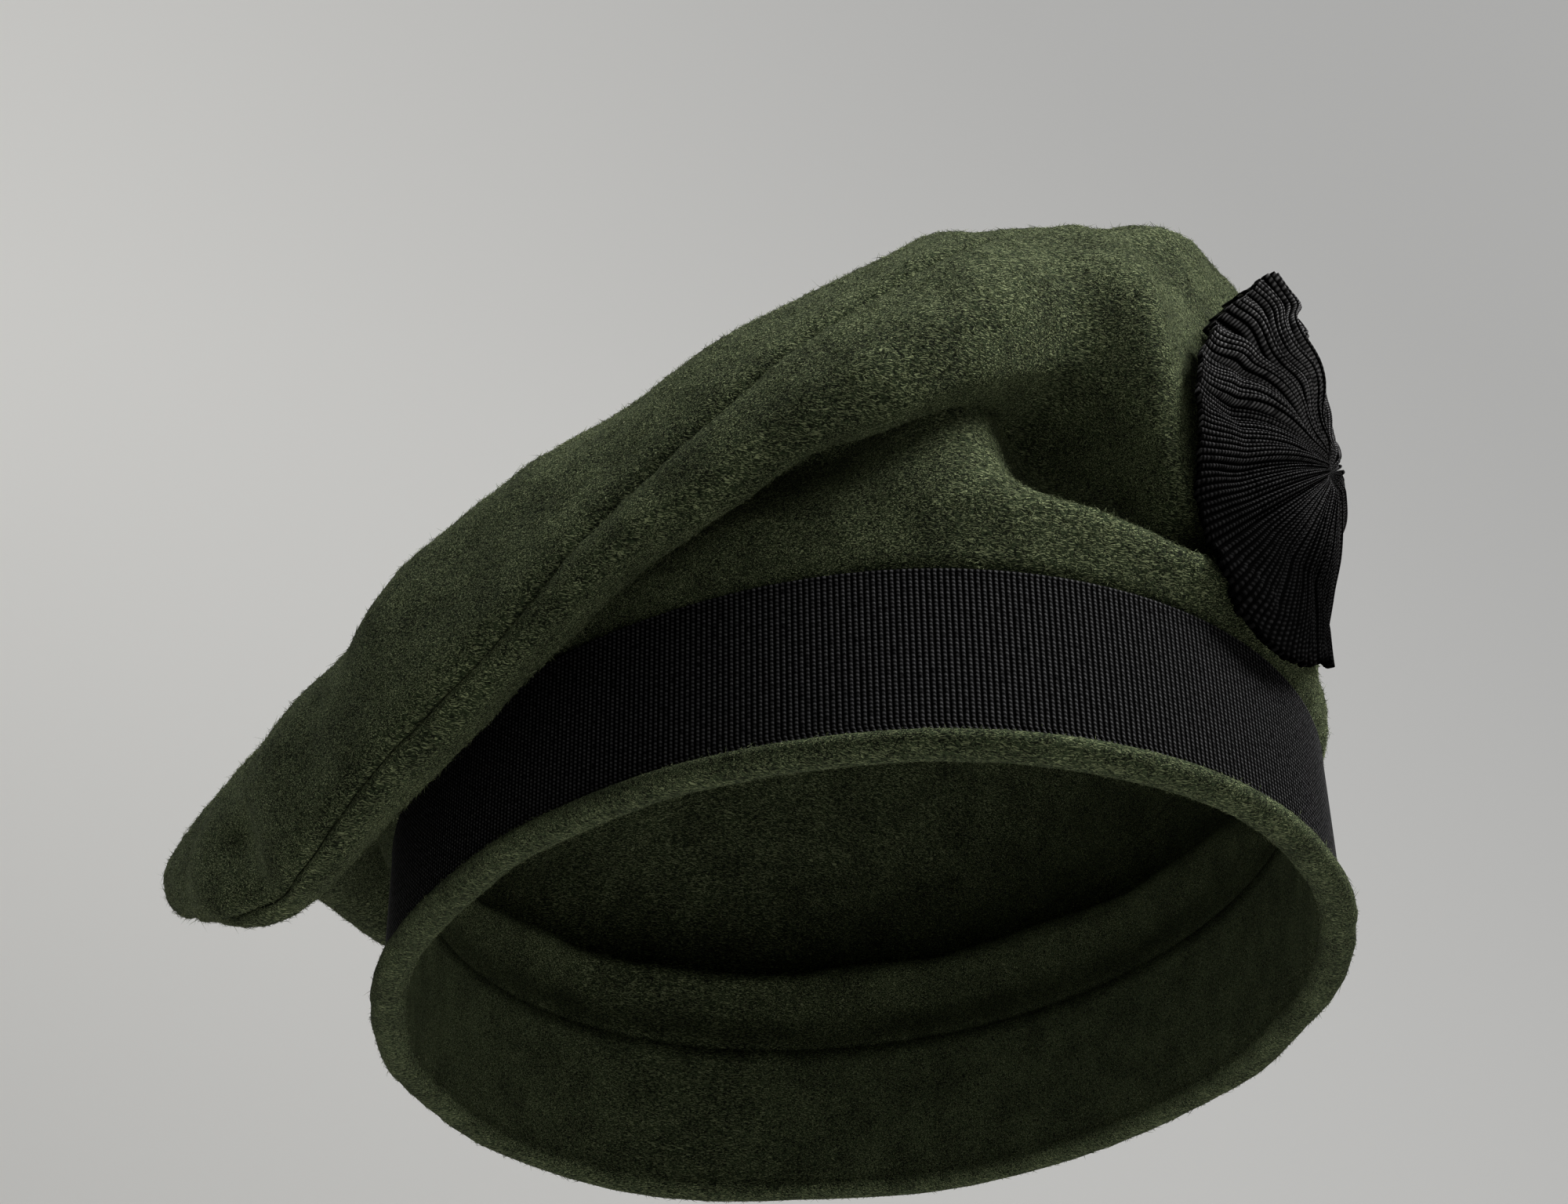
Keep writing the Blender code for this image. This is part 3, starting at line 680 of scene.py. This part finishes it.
def nap_over(grid, count, seed, length):
    """Points and faces of closed spikes rooted in a grid's outer face."""
    rng = np.random.default_rng(seed)
    a, b = grid[:, :-1], np.roll(grid, -1, 0)[:, :-1]
    c, d = np.roll(grid, -1, 0)[:, 1:], grid[:, 1:]
    cross = np.cross(c - a, d - b).reshape(-1, 3)
    area = np.linalg.norm(cross, axis=1) / 2
    pick = rng.choice(len(area), count, p=area / area.sum())
    u, v = rng.random((2, count, 1))
    corners = [x.reshape(-1, 3)[pick] for x in (a, b, c, d)]
    root = ((1 - u) * (1 - v) * corners[0] + u * (1 - v) * corners[1]
            + u * v * corners[2] + (1 - u) * v * corners[3])
    out = cross[pick] / (2 * area[pick, None] + 1e-15)
    side = np.cross(out, rng.normal(size=(count, 3)))
    side /= np.linalg.norm(side, axis=1, keepdims=True)
    forward = np.cross(side, out)
    stands = rng.random(count) < STANDING_SHARE
    rise = np.radians(np.where(stands, rng.uniform(*STANDING_TURN, count),
                               rng.uniform(*LYING_TURN, count)))
    size = length * np.exp(rng.normal(0, 0.35, count))
    size = np.where(stands, size * 0.65, size)
    tip = root + (forward * np.cos(rise)[:, None] + out * np.sin(rise)[:, None]) * size[:, None]
    root = root - out * FIBRE_WIDTH * 0.4
    thick = (FIBRE_WIDTH * rng.uniform(0.7, 1.3, count))[:, None]
    points = np.stack([root - side * thick / 2, root + side * thick / 2,
                       root + out * thick * 0.8, tip], 1)
    start = np.arange(count)[:, None] * 4
    spike = ((0, 1, 3), (1, 2, 3), (2, 0, 3), (0, 2, 1))
    faces = np.concatenate([start + np.array(corner) for corner in spike])
    print("fibres for each square millimetre:", round(count / (area.sum() / MM**2), 2))
    return points.reshape(-1, 3), faces.tolist()


RIM_ROWS = slice(8, 28)
top_nap = add_piece("crown_top_nap", *nap_over(top_outer, 45000, 31, 0.0013), nap_wool,
                    "olive_wool")
side_nap = add_piece("crown_side_nap", *nap_over(side_outer, 45000, 32, 0.0012), nap_wool,
                     "olive_wool")
band_nap = add_piece("headband_nap", *nap_over(band_grid[:, RIM_ROWS], 11000, 33, 0.0010), nap_wool,
                     "olive_wool")

# %% [markdown]
# ## Grosgrain
# The ribbon's ribs run across its width. Each rib is a cord wrapped by fine
# threads, seen as a column of small slanted dots. The ribs are real geometry
# below, and this group adds the dots, painted shade in the valleys between the
# ribs and between the dots, and an uneven shine to both the ribbon and the
# cockade. It reads the UV map, which counts ribs one way and threads the other.
# Low on the cockade the gathers are pressed together, and the group paints shade
# on the threads there, darker by height towards the bottom.

# %% Node group for grosgrain
RIB_EDGE, DOT_EDGE, UNEVEN_EDGE = (0.14, 0.40), (0.10, 0.36), (0.15, 0.65)
PAINTED_SHADE_HEIGHTS = (0.052, 0.092)
DULLEST = 0.68


def make_grosgrain_group():
    tree, source, result = new_group(
        "grosgrain_threads",
        [("Thread", "NodeSocketColor", (0.02, 0.02, 0.022, 1)),
         ("Painted Gap Shade", "NodeSocketColor", (0.002, 0.002, 0.002, 1)),
         ("Slant", "NodeSocketFloat", 0.5), ("Wear", "NodeSocketFloat", 0.3),
         ("Painted Shade Low", "NodeSocketFloat", 0.0)],
        [("Colour", "NodeSocketColor"), ("Height", "NodeSocketFloat"),
         ("Roughness", "NodeSocketFloat")])
    uv = add_node(tree, "ShaderNodeUVMap").outputs[0]
    split = add_node(tree, "ShaderNodeSeparateXYZ", {0: uv})
    rib, thread = split.outputs[0], split.outputs[1]
    from_valley = maths(tree, "ADD", rib, 0.5)
    # Hump and dot mark where the thread is lit; the valleys between ribs and between dots get painted
    # shade
    hump = from_one(tree, smooth_step(tree, from_half(tree, from_valley), *RIB_EDGE))
    every_other = maths(tree, "MULTIPLY", maths(tree, "FLOOR", from_valley), 0.5)
    lean = maths(tree, "MULTIPLY", rib, source.outputs["Slant"])
    slanted = maths(tree, "ADD", maths(tree, "ADD", thread, lean), every_other)
    dot = from_one(tree, smooth_step(tree, from_half(tree, slanted), *DOT_EDGE))
    uneven = add_noise(tree, uv, 0.8, 2.0).outputs["Fac"]
    lit = maths(tree, "MULTIPLY", hump, scaled(tree, dot, 0.88, 0.12))
    lit = maths(tree, "MULTIPLY", lit, smooth_step(tree, uneven, *UNEVEN_EDGE))
    place = add_node(tree, "ShaderNodeTexCoord").outputs["Object"]
    height = add_node(tree, "ShaderNodeSeparateXYZ", {0: place}).outputs[2]
    # Painted shade: threads low on the cockade are darkened by height, fully below the lower height
    below = from_one(tree, smooth_step(tree, height, *PAINTED_SHADE_HEIGHTS))
    painted_shade_part = maths(tree, "MULTIPLY", below, source.outputs["Painted Shade Low"])
    lit = maths(tree, "MULTIPLY", lit, from_one(tree, painted_shade_part))
    worn = maths(tree, "MULTIPLY", uneven, source.outputs["Wear"])
    # Thread colour on the ribs' backs and dots, painted shade in the valleys between them
    fill_inputs(tree, result, {
        "Colour": blend_colours(tree, lit, source.outputs["Painted Gap Shade"], source.outputs["Thread"]),
        "Height": maths(tree, "MULTIPLY", hump, scaled(tree, dot, 0.5, 0.5)),
        "Roughness": maths(tree, "SUBTRACT", DULLEST, worn)})
    return tree


grosgrain_group = make_grosgrain_group()
print("grosgrain group has", len(grosgrain_group.nodes), "nodes")

# %% Black ribbon materials
RIBBON_WEAR, RIBBON_BUMP = 0.25, 0.0002
# The second colour of each pair is painted shade for the valleys between ribs and thread dots
BAND_THREAD, BAND_GAP_SHADE = (0.0850, 0.0850, 0.0880), (0.0006, 0.0006, 0.0007)
# The cockade's thread is a lighter copy of the band's, though both are one black ribbon: painted
# light that makes up for the shade in its deep ruffles
COCKADE_THREAD_PAINTED_LIGHTER, COCKADE_GAP_SHADE = (0.2500, 0.2460, 0.2510), (0.0012, 0.0012, 0.0012)


def make_ribbon(name, thread, gap_shade, slant, painted_shade_share, specular):
    material, tree, shader = new_material(name)
    cloth = add_node(tree, "ShaderNodeGroup",
                     {"Thread": (*thread, 1), "Painted Gap Shade": (*gap_shade, 1), "Slant": slant,
                      "Wear": RIBBON_WEAR, "Painted Shade Low": painted_shade_share}, node_tree=grosgrain_group)
    rise = add_node(tree, "ShaderNodeBump",
                    {"Height": cloth.outputs["Height"], "Strength": 1.0, "Distance": RIBBON_BUMP})
    fill_inputs(tree, shader, {
        "Base Color": cloth.outputs["Colour"], "Roughness": cloth.outputs["Roughness"],
        "Normal": rise.outputs[0], "Specular IOR Level": specular})
    return material


band_black = make_ribbon("band_black", BAND_THREAD, BAND_GAP_SHADE, 0.5, 0.0, 0.02)
# The cockade's threads get painted shade low down; the band's get none
cockade_black = make_ribbon("cockade_black", COCKADE_THREAD_PAINTED_LIGHTER, COCKADE_GAP_SHADE, 0.3, 0.95, 0.0)
print("ribbon materials:", band_black.name, cockade_black.name)

# %% [markdown]
# ## Ribbon round the band
# A bump map alone would leave the ribbon's edge a clean line. Here each rib is
# six columns of points, so it has a rounded back and a sharp valley, leans over
# along the lower selvedge, and shows at the outline.

# %% Ribbed ribbon
RIB_PITCH, RIB_SAMPLES, RIB_DEPTH = 0.00095, 6, 0.00034
THREAD_PITCH = 0.00070
RIBBON_THICK = 0.0010
SELVEDGE, SELVEDGE_LEAN, SELVEDGE_NOTCH = 0.0020, 0.75, 0.00032


def walk_round(angle, stand):
    """Distance walked round the band at each angle, some way outside it."""
    path = direction(angle) * (band_radius(angle)[:, None] + stand)
    return np.concatenate([[0], np.cumsum(np.linalg.norm(np.diff(path, axis=0), axis=1))])


fine_angles = np.linspace(-180, 180, 7201)
fine_walk = walk_round(fine_angles, 0.0)
rib_count = int(round(fine_walk[-1] / RIB_PITCH))
rib_number = np.arange(rib_count * RIB_SAMPLES) / RIB_SAMPLES
ribbon_heights = np.concatenate([
    [0, 0.0003, 0.0008, 0.0014, 0.0020], np.linspace(0.0030, 0.0282, 14), [0.0288, 0.0292, 0.0295]])


def rib_back(number):
    """1 along the middle of a rib and 0 in the valley beside it."""
    return np.abs(np.cos(math.pi * number)) ** 0.6


def ribbon_grid():
    """Outer face of the ribbon, and the two edges of its back."""
    lean = SELVEDGE_LEAN * np.clip(1 - ribbon_heights / SELVEDGE, 0, 1) ** 1.2
    valley = 1 - rib_back(rib_number)[:, None] * np.ones(len(ribbon_heights))
    number = rib_number[:, None] + lean
    angle = np.interp(number / rib_count % 1 * fine_walk[-1], fine_walk, fine_angles)
    notch = np.clip(1 - ribbon_heights / 0.0006, 0, 1) * SELVEDGE_NOTCH
    height = RIBBON_LIFT + ribbon_heights + notch * valley
    top = np.clip((ribbon_heights - 0.0286) / 0.0005, 0, 1)
    thick = (RIBBON_THICK - RIB_DEPTH * valley) * (1 - top) + (RIBBON_THICK + 0.0001) * top
    thick *= 1 - 0.35 * np.clip(1 - ribbon_heights / 0.0004, 0, 1)
    thick = thick - 0.35 * MM * np.clip((ribbon_heights - 0.0293) / 0.0002, 0, 1)
    ring = np.column_stack([direction(rib_number / rib_count * 360) * RING_RADIUS,
                            np.zeros(len(rib_number))])
    sway = soft_waves(ring, 0.060, 41)[:, None] * 0.12 * MM
    height = height + sway * 0.6
    toward = direction(angle)
    reach = band_radius(angle) + (GAP + thick)
    outer = np.concatenate([reach[..., None] * toward, height[..., None]], -1)
    back_reach = band_radius(angle[:, [0, -1]]) + GAP
    back = np.concatenate([back_reach[..., None] * toward[:, [0, -1]],
                           height[:, [0, -1], None]], -1)
    return outer, back


def spread_uv(piece, uv, period):
    """Writes a UV for each point, and carries it on across the join of the ring."""
    layer = piece.data.uv_layers.new(name="threads")
    index = np.empty(len(piece.data.loops), int)
    piece.data.loops.foreach_get("vertex_index", index)
    start = np.empty(len(piece.data.polygons), int)
    piece.data.polygons.foreach_get("loop_start", start)
    corner = uv[index]
    face = np.repeat(np.arange(len(start)), np.diff(np.append(start, len(index))))
    high = np.maximum.reduceat(corner[:, 0], start)[face]
    corner[high - corner[:, 0] > period / 2, 0] += period
    layer.data.foreach_set("uv", corner.astype(np.float32).ravel())


ribbon_outer, ribbon_back = ribbon_grid()
ribbon_columns, ribbon_rows = ribbon_outer.shape[:2]
ribbon_points = np.concatenate([ribbon_outer.reshape(-1, 3), ribbon_back.reshape(-1, 3)])
low = np.arange(ribbon_columns) * ribbon_rows
high = low + ribbon_rows - 1
back_low = ribbon_columns * ribbon_rows + np.arange(ribbon_columns) * 2
back_high = back_low + 1
low_next, high_next, back_low_next, back_high_next = (
    np.roll(edge, -1) for edge in (low, high, back_low, back_high))
ribbon_faces = np.concatenate([
    band_of_quads(ribbon_columns, ribbon_rows),
    np.stack([low, back_low, back_low_next, low_next], -1),
    np.stack([high, high_next, back_high_next, back_high], -1),
    np.stack([back_low, back_high, back_high_next, back_low_next], -1),
]).tolist()
ribbon = add_piece("band_ribbon_grosgrain", ribbon_points, ribbon_faces, band_black, "black_ribbon",
                   ["band_ribbon"])
ribbon_uv = np.stack(np.broadcast_arrays(rib_number[:, None], ribbon_heights / THREAD_PITCH), -1)
spread_uv(ribbon, np.concatenate([ribbon_uv.reshape(-1, 2), ribbon_uv[:, [0, -1]].reshape(-1, 2)]),
          rib_count)
print(rib_count, "ribs round the band")

# %% [markdown]
# ## Cockade
# A length of grosgrain is drawn up along one edge until it closes into a disc,
# so every rib runs from the gathered middle to the rim. At the top the fullness
# stands up in deep ruffles that snake towards the middle, and below it lies in
# fine straight pleats. A grid of spokes and rings suits it: the ribs, pleats and
# ruffles are each a wave across the spokes, which grows towards the rim.

# %% Where the cockade sits on the crown
COCKADE_WIDTH, COCKADE_HEIGHT = 0.082, 0.075
COCKADE_ANGLE, COCKADE_RISE = 35.5, 0.0455
COCKADE_THICK, COCKADE_CLOTH = 0.0022, 0.0011
COCKADE_STAND, COCKADE_PUFF = 0.0010, 0.0110
seat_angle = np.linspace(-20.0, 100.0, 481)
seat_walk = walk_round(seat_angle, COCKADE_STAND)
seat_walk -= np.interp(COCKADE_ANGLE, seat_angle, seat_walk)
seat_heights = np.linspace(BAND_HEIGHT, BAND_HEIGHT + 0.11, 111)
climb = np.maximum.accumulate(face[..., 2], axis=1)[:, :seam_row + 6]
outward = np.linalg.norm(face[..., :2], axis=-1)[:, :seam_row + 6] - band_radius(angles)[:, None]
seat_out = np.array([np.interp(seat_heights, c, o) for c, o in zip(climb, outward)])


def crown_out(aside, rise):
    """How far the crown stands out from the band's wall behind a place of the cockade."""
    column = (np.interp(aside, seat_walk, seat_angle) + 180) / 360 * COLUMNS
    row = np.clip((rise - seat_heights[0]) / (seat_heights[1] - seat_heights[0]),
                  0, len(seat_heights) - 1.001)
    i, k = np.floor(column).astype(int), np.floor(row).astype(int)
    u, v = column - i, row - k
    corners = [seat_out[(i + a) % COLUMNS, k + b] for a, b in ((0, 0), (1, 0), (1, 1), (0, 1))]
    return ((1 - u) * (1 - v) * corners[0] + u * (1 - v) * corners[1]
            + u * v * corners[2] + (1 - u) * v * corners[3])


def crown_cover(aside, rise):
    """The furthest that the crown stands out close by."""
    steps = (-COVER_STEP, 0, COVER_STEP)
    return np.max([crown_out(aside + a, rise + b) for a in steps for b in steps], axis=0)


middle_out = float(crown_out(0.0, BAND_HEIGHT + COCKADE_RISE))
print("crown behind the cockade stands out", round(middle_out / MM, 1), "mm")

# %% Outline, ruffles and pleats of the cockade
# Reach of the rim at directions in degrees from the wearer's left through the
# top, as a share of the half width and half height
RIM_REACH = (
    (0, 0.88), (30, 0.87), (60, 0.80), (85, 0.72), (97, 0.76), (106, 0.89), (118, 0.93),
    (134, 0.88), (150, 0.87), (166, 0.94), (182, 1.03), (196, 1.06), (208, 1.13), (219, 1.25),
    (229, 1.40), (241, 1.42), (249, 1.33), (258, 1.17), (267, 1.00), (280, 0.89), (305, 0.85),
    (330, 0.86),
)
# Columns: direction, half width in degrees, height in millimetres, and start as
# a share of the radius
RUFFLES = (
    (66, 5.5, 2.0, 0.22), (80, 5.5, 3.2, 0.18), (93, 5.5, 4.6, 0.12), (106, 6.5, 7.0, 0.08),
    (121, 8.6, 10.0, 0.06), (138, 8.2, 10.0, 0.06), (154, 7.6, 9.0, 0.07), (168, 6.6, 6.5, 0.09),
    (180, 7.0, 3.0, 0.15), (201, 8.5, 1.9, 0.16), (217, 7.5, 1.1, 0.18), (233, 8.0, 1.3, 0.18),
    (250, 8.0, 1.1, 0.18), (267, 8.0, 1.0, 0.18), (284, 8.5, 0.7, 0.18), (303, 9.5, 0.8, 0.18),
    (324, 10.5, 1.0, 0.20), (346, 11.0, 1.2, 0.20), (8, 10.0, 1.6, 0.20), (30, 9.0, 1.6, 0.20),
    (48, 7.0, 1.8, 0.22),
)
COCKADE_RIBS, PLEATS = 228, 74
SPOKES, RINGS = COCKADE_RIBS * RIB_SAMPLES, 34
shares = 0.030 + 0.970 * (np.arange(RINGS) / (RINGS - 1)) ** 0.9
spokes = 360 * np.arange(SPOKES) / SPOKES


def for_each_rib(values):
    """One value a rib, given to all the spokes of that rib."""
    return np.roll(np.repeat(values, RIB_SAMPLES), -RIB_SAMPLES // 2)[:, None]


def gathers(share, spoke):
    """Height in millimetres of the ruffles, pleats and ribs, the sideways bend in degrees,
    the number of the rib, and the rim's reach."""
    rng = np.random.default_rng(51)
    lift = np.zeros_like(share)
    for at, half_width, height, start in RUFFLES:
        hump = np.clip(1 - (turn_from(at, spoke) / half_width) ** 2, 0, 1) ** 0.6
        lift = np.maximum(lift, height * smooth_ramp(share, start, 0.72) * hump)
    lift = lift * (1 - 0.75 * smooth_ramp(share, 0.78, 1.0) * smooth_ramp(spoke, 150, 180))
    lift = lift * (1 - 0.40 * smooth_ramp(share, 0.72, 1.0) * smooth_ramp(-spoke, -125, -95))
    from_middle = smooth_ramp(share, 0.05, 0.30)
    top = np.exp(-(((spoke - 124) / 38) ** 4))
    bend = 12.0 * top * np.sin(share * 11.5 + 0.6) * from_middle
    bend = bend * smooth_ramp(1.12 - share, 0, 0.35)
    side = np.exp(-(((spoke - 176) / 16) ** 2))
    bend = bend + 3.5 * side * np.sin(share * 8.0) * from_middle
    widths = rng.uniform(0.6, 1.4, PLEATS)
    edges = np.concatenate([[0], np.cumsum(widths)]) / widths.sum() * 360
    number = np.interp(spoke, edges, np.arange(PLEATS + 1))
    tall = rng.uniform(0.5, 1.2, PLEATS)[np.floor(number).astype(int) % PLEATS]
    pleat = (1.5 * tall * np.abs(np.sin(math.pi * number)) ** 0.7
             * smooth_ramp(share, 0.03, 0.16) * (1 - 0.85 * smooth_ramp(share, 0.40, 0.92)))
    rib = spoke / 360 * COCKADE_RIBS
    uneven = for_each_rib(rng.uniform(0.75, 1.1, COCKADE_RIBS))
    ribs = (0.60 * smooth_ramp(share, 0.06, 0.50)
            * np.abs(np.cos(math.pi * rib)) ** 1.1 * uneven)
    tatter = for_each_rib(rng.normal(0, 0.006, COCKADE_RIBS))
    rim = 1 + (0.014 * rib_back(rib) + tatter) * smooth_ramp(share, 0.88, 1.0)
    return lift, pleat, ribs, bend, rib, rim


# How far the front falls back, in metres: low down, on the far side, at the
# gathered middle and in the upper left
LOW_FALL, FAR_FALL, MIDDLE_FALL, LEFT_FALL = 0.0060, 0.0050, 0.0004, 0.0032
# The folded corner at the top: direction, half width in degrees, share of reach
CORNER_AT, CORNER_HALF_WIDTH, CORNER_REACH = 107, 3.0, 0.07
COVER_STEP, SOFT_LAY = 0.0015, 0.0004


def cockade_front():
    share, spoke = np.meshgrid(shares, spokes)
    lift, pleat, ribs, bend, rib, rim = gathers(share, spoke)
    reach = periodic([row[0] for row in RIM_REACH], [row[1] for row in RIM_REACH], spoke.ravel())
    reach = reach.reshape(spoke.shape)
    corner = np.exp(-((spoke - CORNER_AT) / CORNER_HALF_WIDTH) ** 4) * CORNER_REACH
    corner = corner * smooth_ramp(share, 0.85, 1.0)
    turn = np.radians(spoke + bend)
    radius = share * (rim + corner) * (1 + (reach - 1) * share)
    aside = radius * COCKADE_WIDTH / 2 * np.cos(turn)
    rise = BAND_HEIGHT + COCKADE_RISE + radius * COCKADE_HEIGHT / 2 * np.sin(turn)
    lower = np.clip(-radius * np.sin(turn), 0, 1.2)
    far_side = np.clip(radius * np.cos(turn), 0, 1) * smooth_ramp(-np.sin(turn), -0.6, 0.4)
    upper_left = np.exp(-(((spoke - 130) / 46) ** 4)) * smooth_ramp(share, 0.08, 0.35)
    dome = COCKADE_STAND + COCKADE_PUFF * np.clip(1 - share**2, 0, 1) ** 0.8
    dome = dome - LOW_FALL * lower - FAR_FALL * far_side - MIDDLE_FALL * np.exp(-(share / 0.10) ** 2)
    dome = dome - LEFT_FALL * upper_left
    cover = (crown_cover(aside, rise) + GAP + COCKADE_THICK
             - 0.0008 * smooth_ramp(lower, 0.2, 0.7))
    cover = np.maximum(cover, 0.0030 + 0.0020 * smooth_ramp(lower, 0.3, 0.8))
    soft_edge = SOFT_LAY * np.log1p(np.exp(-np.abs(dome - cover) / SOFT_LAY))
    out = np.maximum(dome, cover) + soft_edge + (lift + pleat + ribs) * MM
    return aside, rise, out, rib, share


def place_on_seat(aside, rise, out):
    angle = np.interp(aside, seat_walk, seat_angle)
    toward = direction(angle)
    return np.concatenate([(band_radius(angle) + out)[..., None] * toward, rise[..., None]], -1)


aside, rise, out, rib, share = cockade_front()
cockade_outer = place_on_seat(aside, rise, out)
cockade_inner = place_on_seat(aside, rise, out - COCKADE_CLOTH)
print("cockade reaches", np.round(out.max() / MM, 1), "mm beyond the band")

# %% Cockade mesh
middle_front = cockade_outer[:, 0].mean(0)
middle_back = cockade_inner[:, 0].mean(0)
flip = slice(None, None, -1)
points, faces = closed_cloth(cockade_outer[:, flip], cockade_inner[:, flip],
                             middle_front, middle_back)
cockade = add_piece("cockade_gathers", points, faces, cockade_black, "black_ribbon", ["cockade"])
cockade_uv = np.stack([rib, share * COCKADE_HEIGHT / 2 / THREAD_PITCH], -1)[:, flip].reshape(-1, 2)
spread_uv(cockade, np.concatenate([cockade_uv, cockade_uv, [[0, 0], [0, 0]]]), COCKADE_RIBS)

# %% [markdown]
# ## How the cloth is cut
# Each panel was cut flat before it was sewn. The top is a circle, the side a ring
# of the same outer edge whose hole takes the headband, and the band, the ribbon
# and the gathered ribbon are straight strips.

# %% [markdown]
# ## Floor, backdrop and light
# A plain pale floor and a plain pale wall stand far enough away to stay soft. The
# wall glows a little of its own, which is painted light on it, less towards its
# foot, so that it stays even behind the dark hat. One strong light stands to the
# right and in front, as a window would, a weaker one stands above the left side,
# and a faint one fills from the front.

# %% Floor and backdrop
def stage_material(name, colour):
    material, tree, shader = new_material(name)
    fill_inputs(tree, shader, {"Base Color": (*colour, 1), "Roughness": 0.9})
    return material, tree, shader


WALL_GLOW_LOW, WALL_GLOW_HIGH = (0.190, 0.188, 0.183, 1), (0.60, 0.595, 0.575, 1)
WALL_GLOW_RIGHT = (0.440, 0.440, 0.434, 1)


def lit_wall():
    """Pale wall with a glow that runs from low to high, and evens out to the right."""
    material, tree, shader = stage_material("backdrop_pale", (0.45, 0.445, 0.43))
    place = add_node(tree, "ShaderNodeTexCoord").outputs["Object"]
    split = add_node(tree, "ShaderNodeSeparateXYZ", {0: place})
    height = smooth_step(tree, split.outputs[2], 0.2, 2.2)
    side = smooth_step(tree, split.outputs[0], -1.8, 2.6)
    upright_glow = blend_colours(tree, height, WALL_GLOW_LOW, WALL_GLOW_HIGH)
    # Painted light: the wall's glow, dimmer towards its foot and evening out to the right
    fill_inputs(tree, shader, {
        "Emission Color": blend_colours(tree, side, upright_glow, WALL_GLOW_RIGHT),
        "Emission Strength": 0.85})
    return material


def stage_plane(name, corners, material):
    data = bpy.data.meshes.new(name)
    data.from_pydata(corners, [], [(0, 1, 2, 3)])
    data.materials.append(material)
    plane = bpy.data.objects.new(name, data)
    bpy.context.scene.collection.objects.link(plane)


FLOOR_DROP = -0.62
stage_plane("floor", [(-6, -6, FLOOR_DROP), (6, -6, FLOOR_DROP), (6, 6, FLOOR_DROP),
                      (-6, 6, FLOOR_DROP)], stage_material("floor_pale", (0.52, 0.515, 0.50))[0])
stage_plane("backdrop", [(-5, 2.2, FLOOR_DROP), (6, 2.2, FLOOR_DROP), (6, 3.2, 6), (-5, 3.2, 6)],
            lit_wall())
world = bpy.data.worlds.new("studio")
world.use_nodes = True
fill_inputs(world.node_tree, world.node_tree.nodes["Background"],
            {"Color": (0.50, 0.50, 0.49, 1), "Strength": 0.13})
bpy.context.scene.world = world
print("floor at", FLOOR_DROP, "m")

# %% Lights
LIGHT_AIM = Vector((0, 0, 0.06))


def soft_light(name, place, size, power, colour):
    data = bpy.data.lights.new(name, "AREA")
    data.shape, data.size, data.energy, data.color = "DISK", size, power, colour
    light = bpy.data.objects.new(name, data)
    light.location = place
    light.rotation_mode = "QUATERNION"
    light.rotation_quaternion = (Vector(place) - LIGHT_AIM).to_track_quat("Z", "Y")
    light.visible_camera = False
    bpy.context.scene.collection.objects.link(light)


soft_light("window", (0.88, -0.86, 1.27), 0.9, 45, (1.0, 0.995, 0.98))
soft_light("overhead", (-1.10, 0.25, 1.25), 0.9, 8, (0.96, 0.98, 1.0))
soft_light("fill", (-0.5, -1.5, 0.5), 1.2, 0.6, (0.95, 0.98, 1.0))
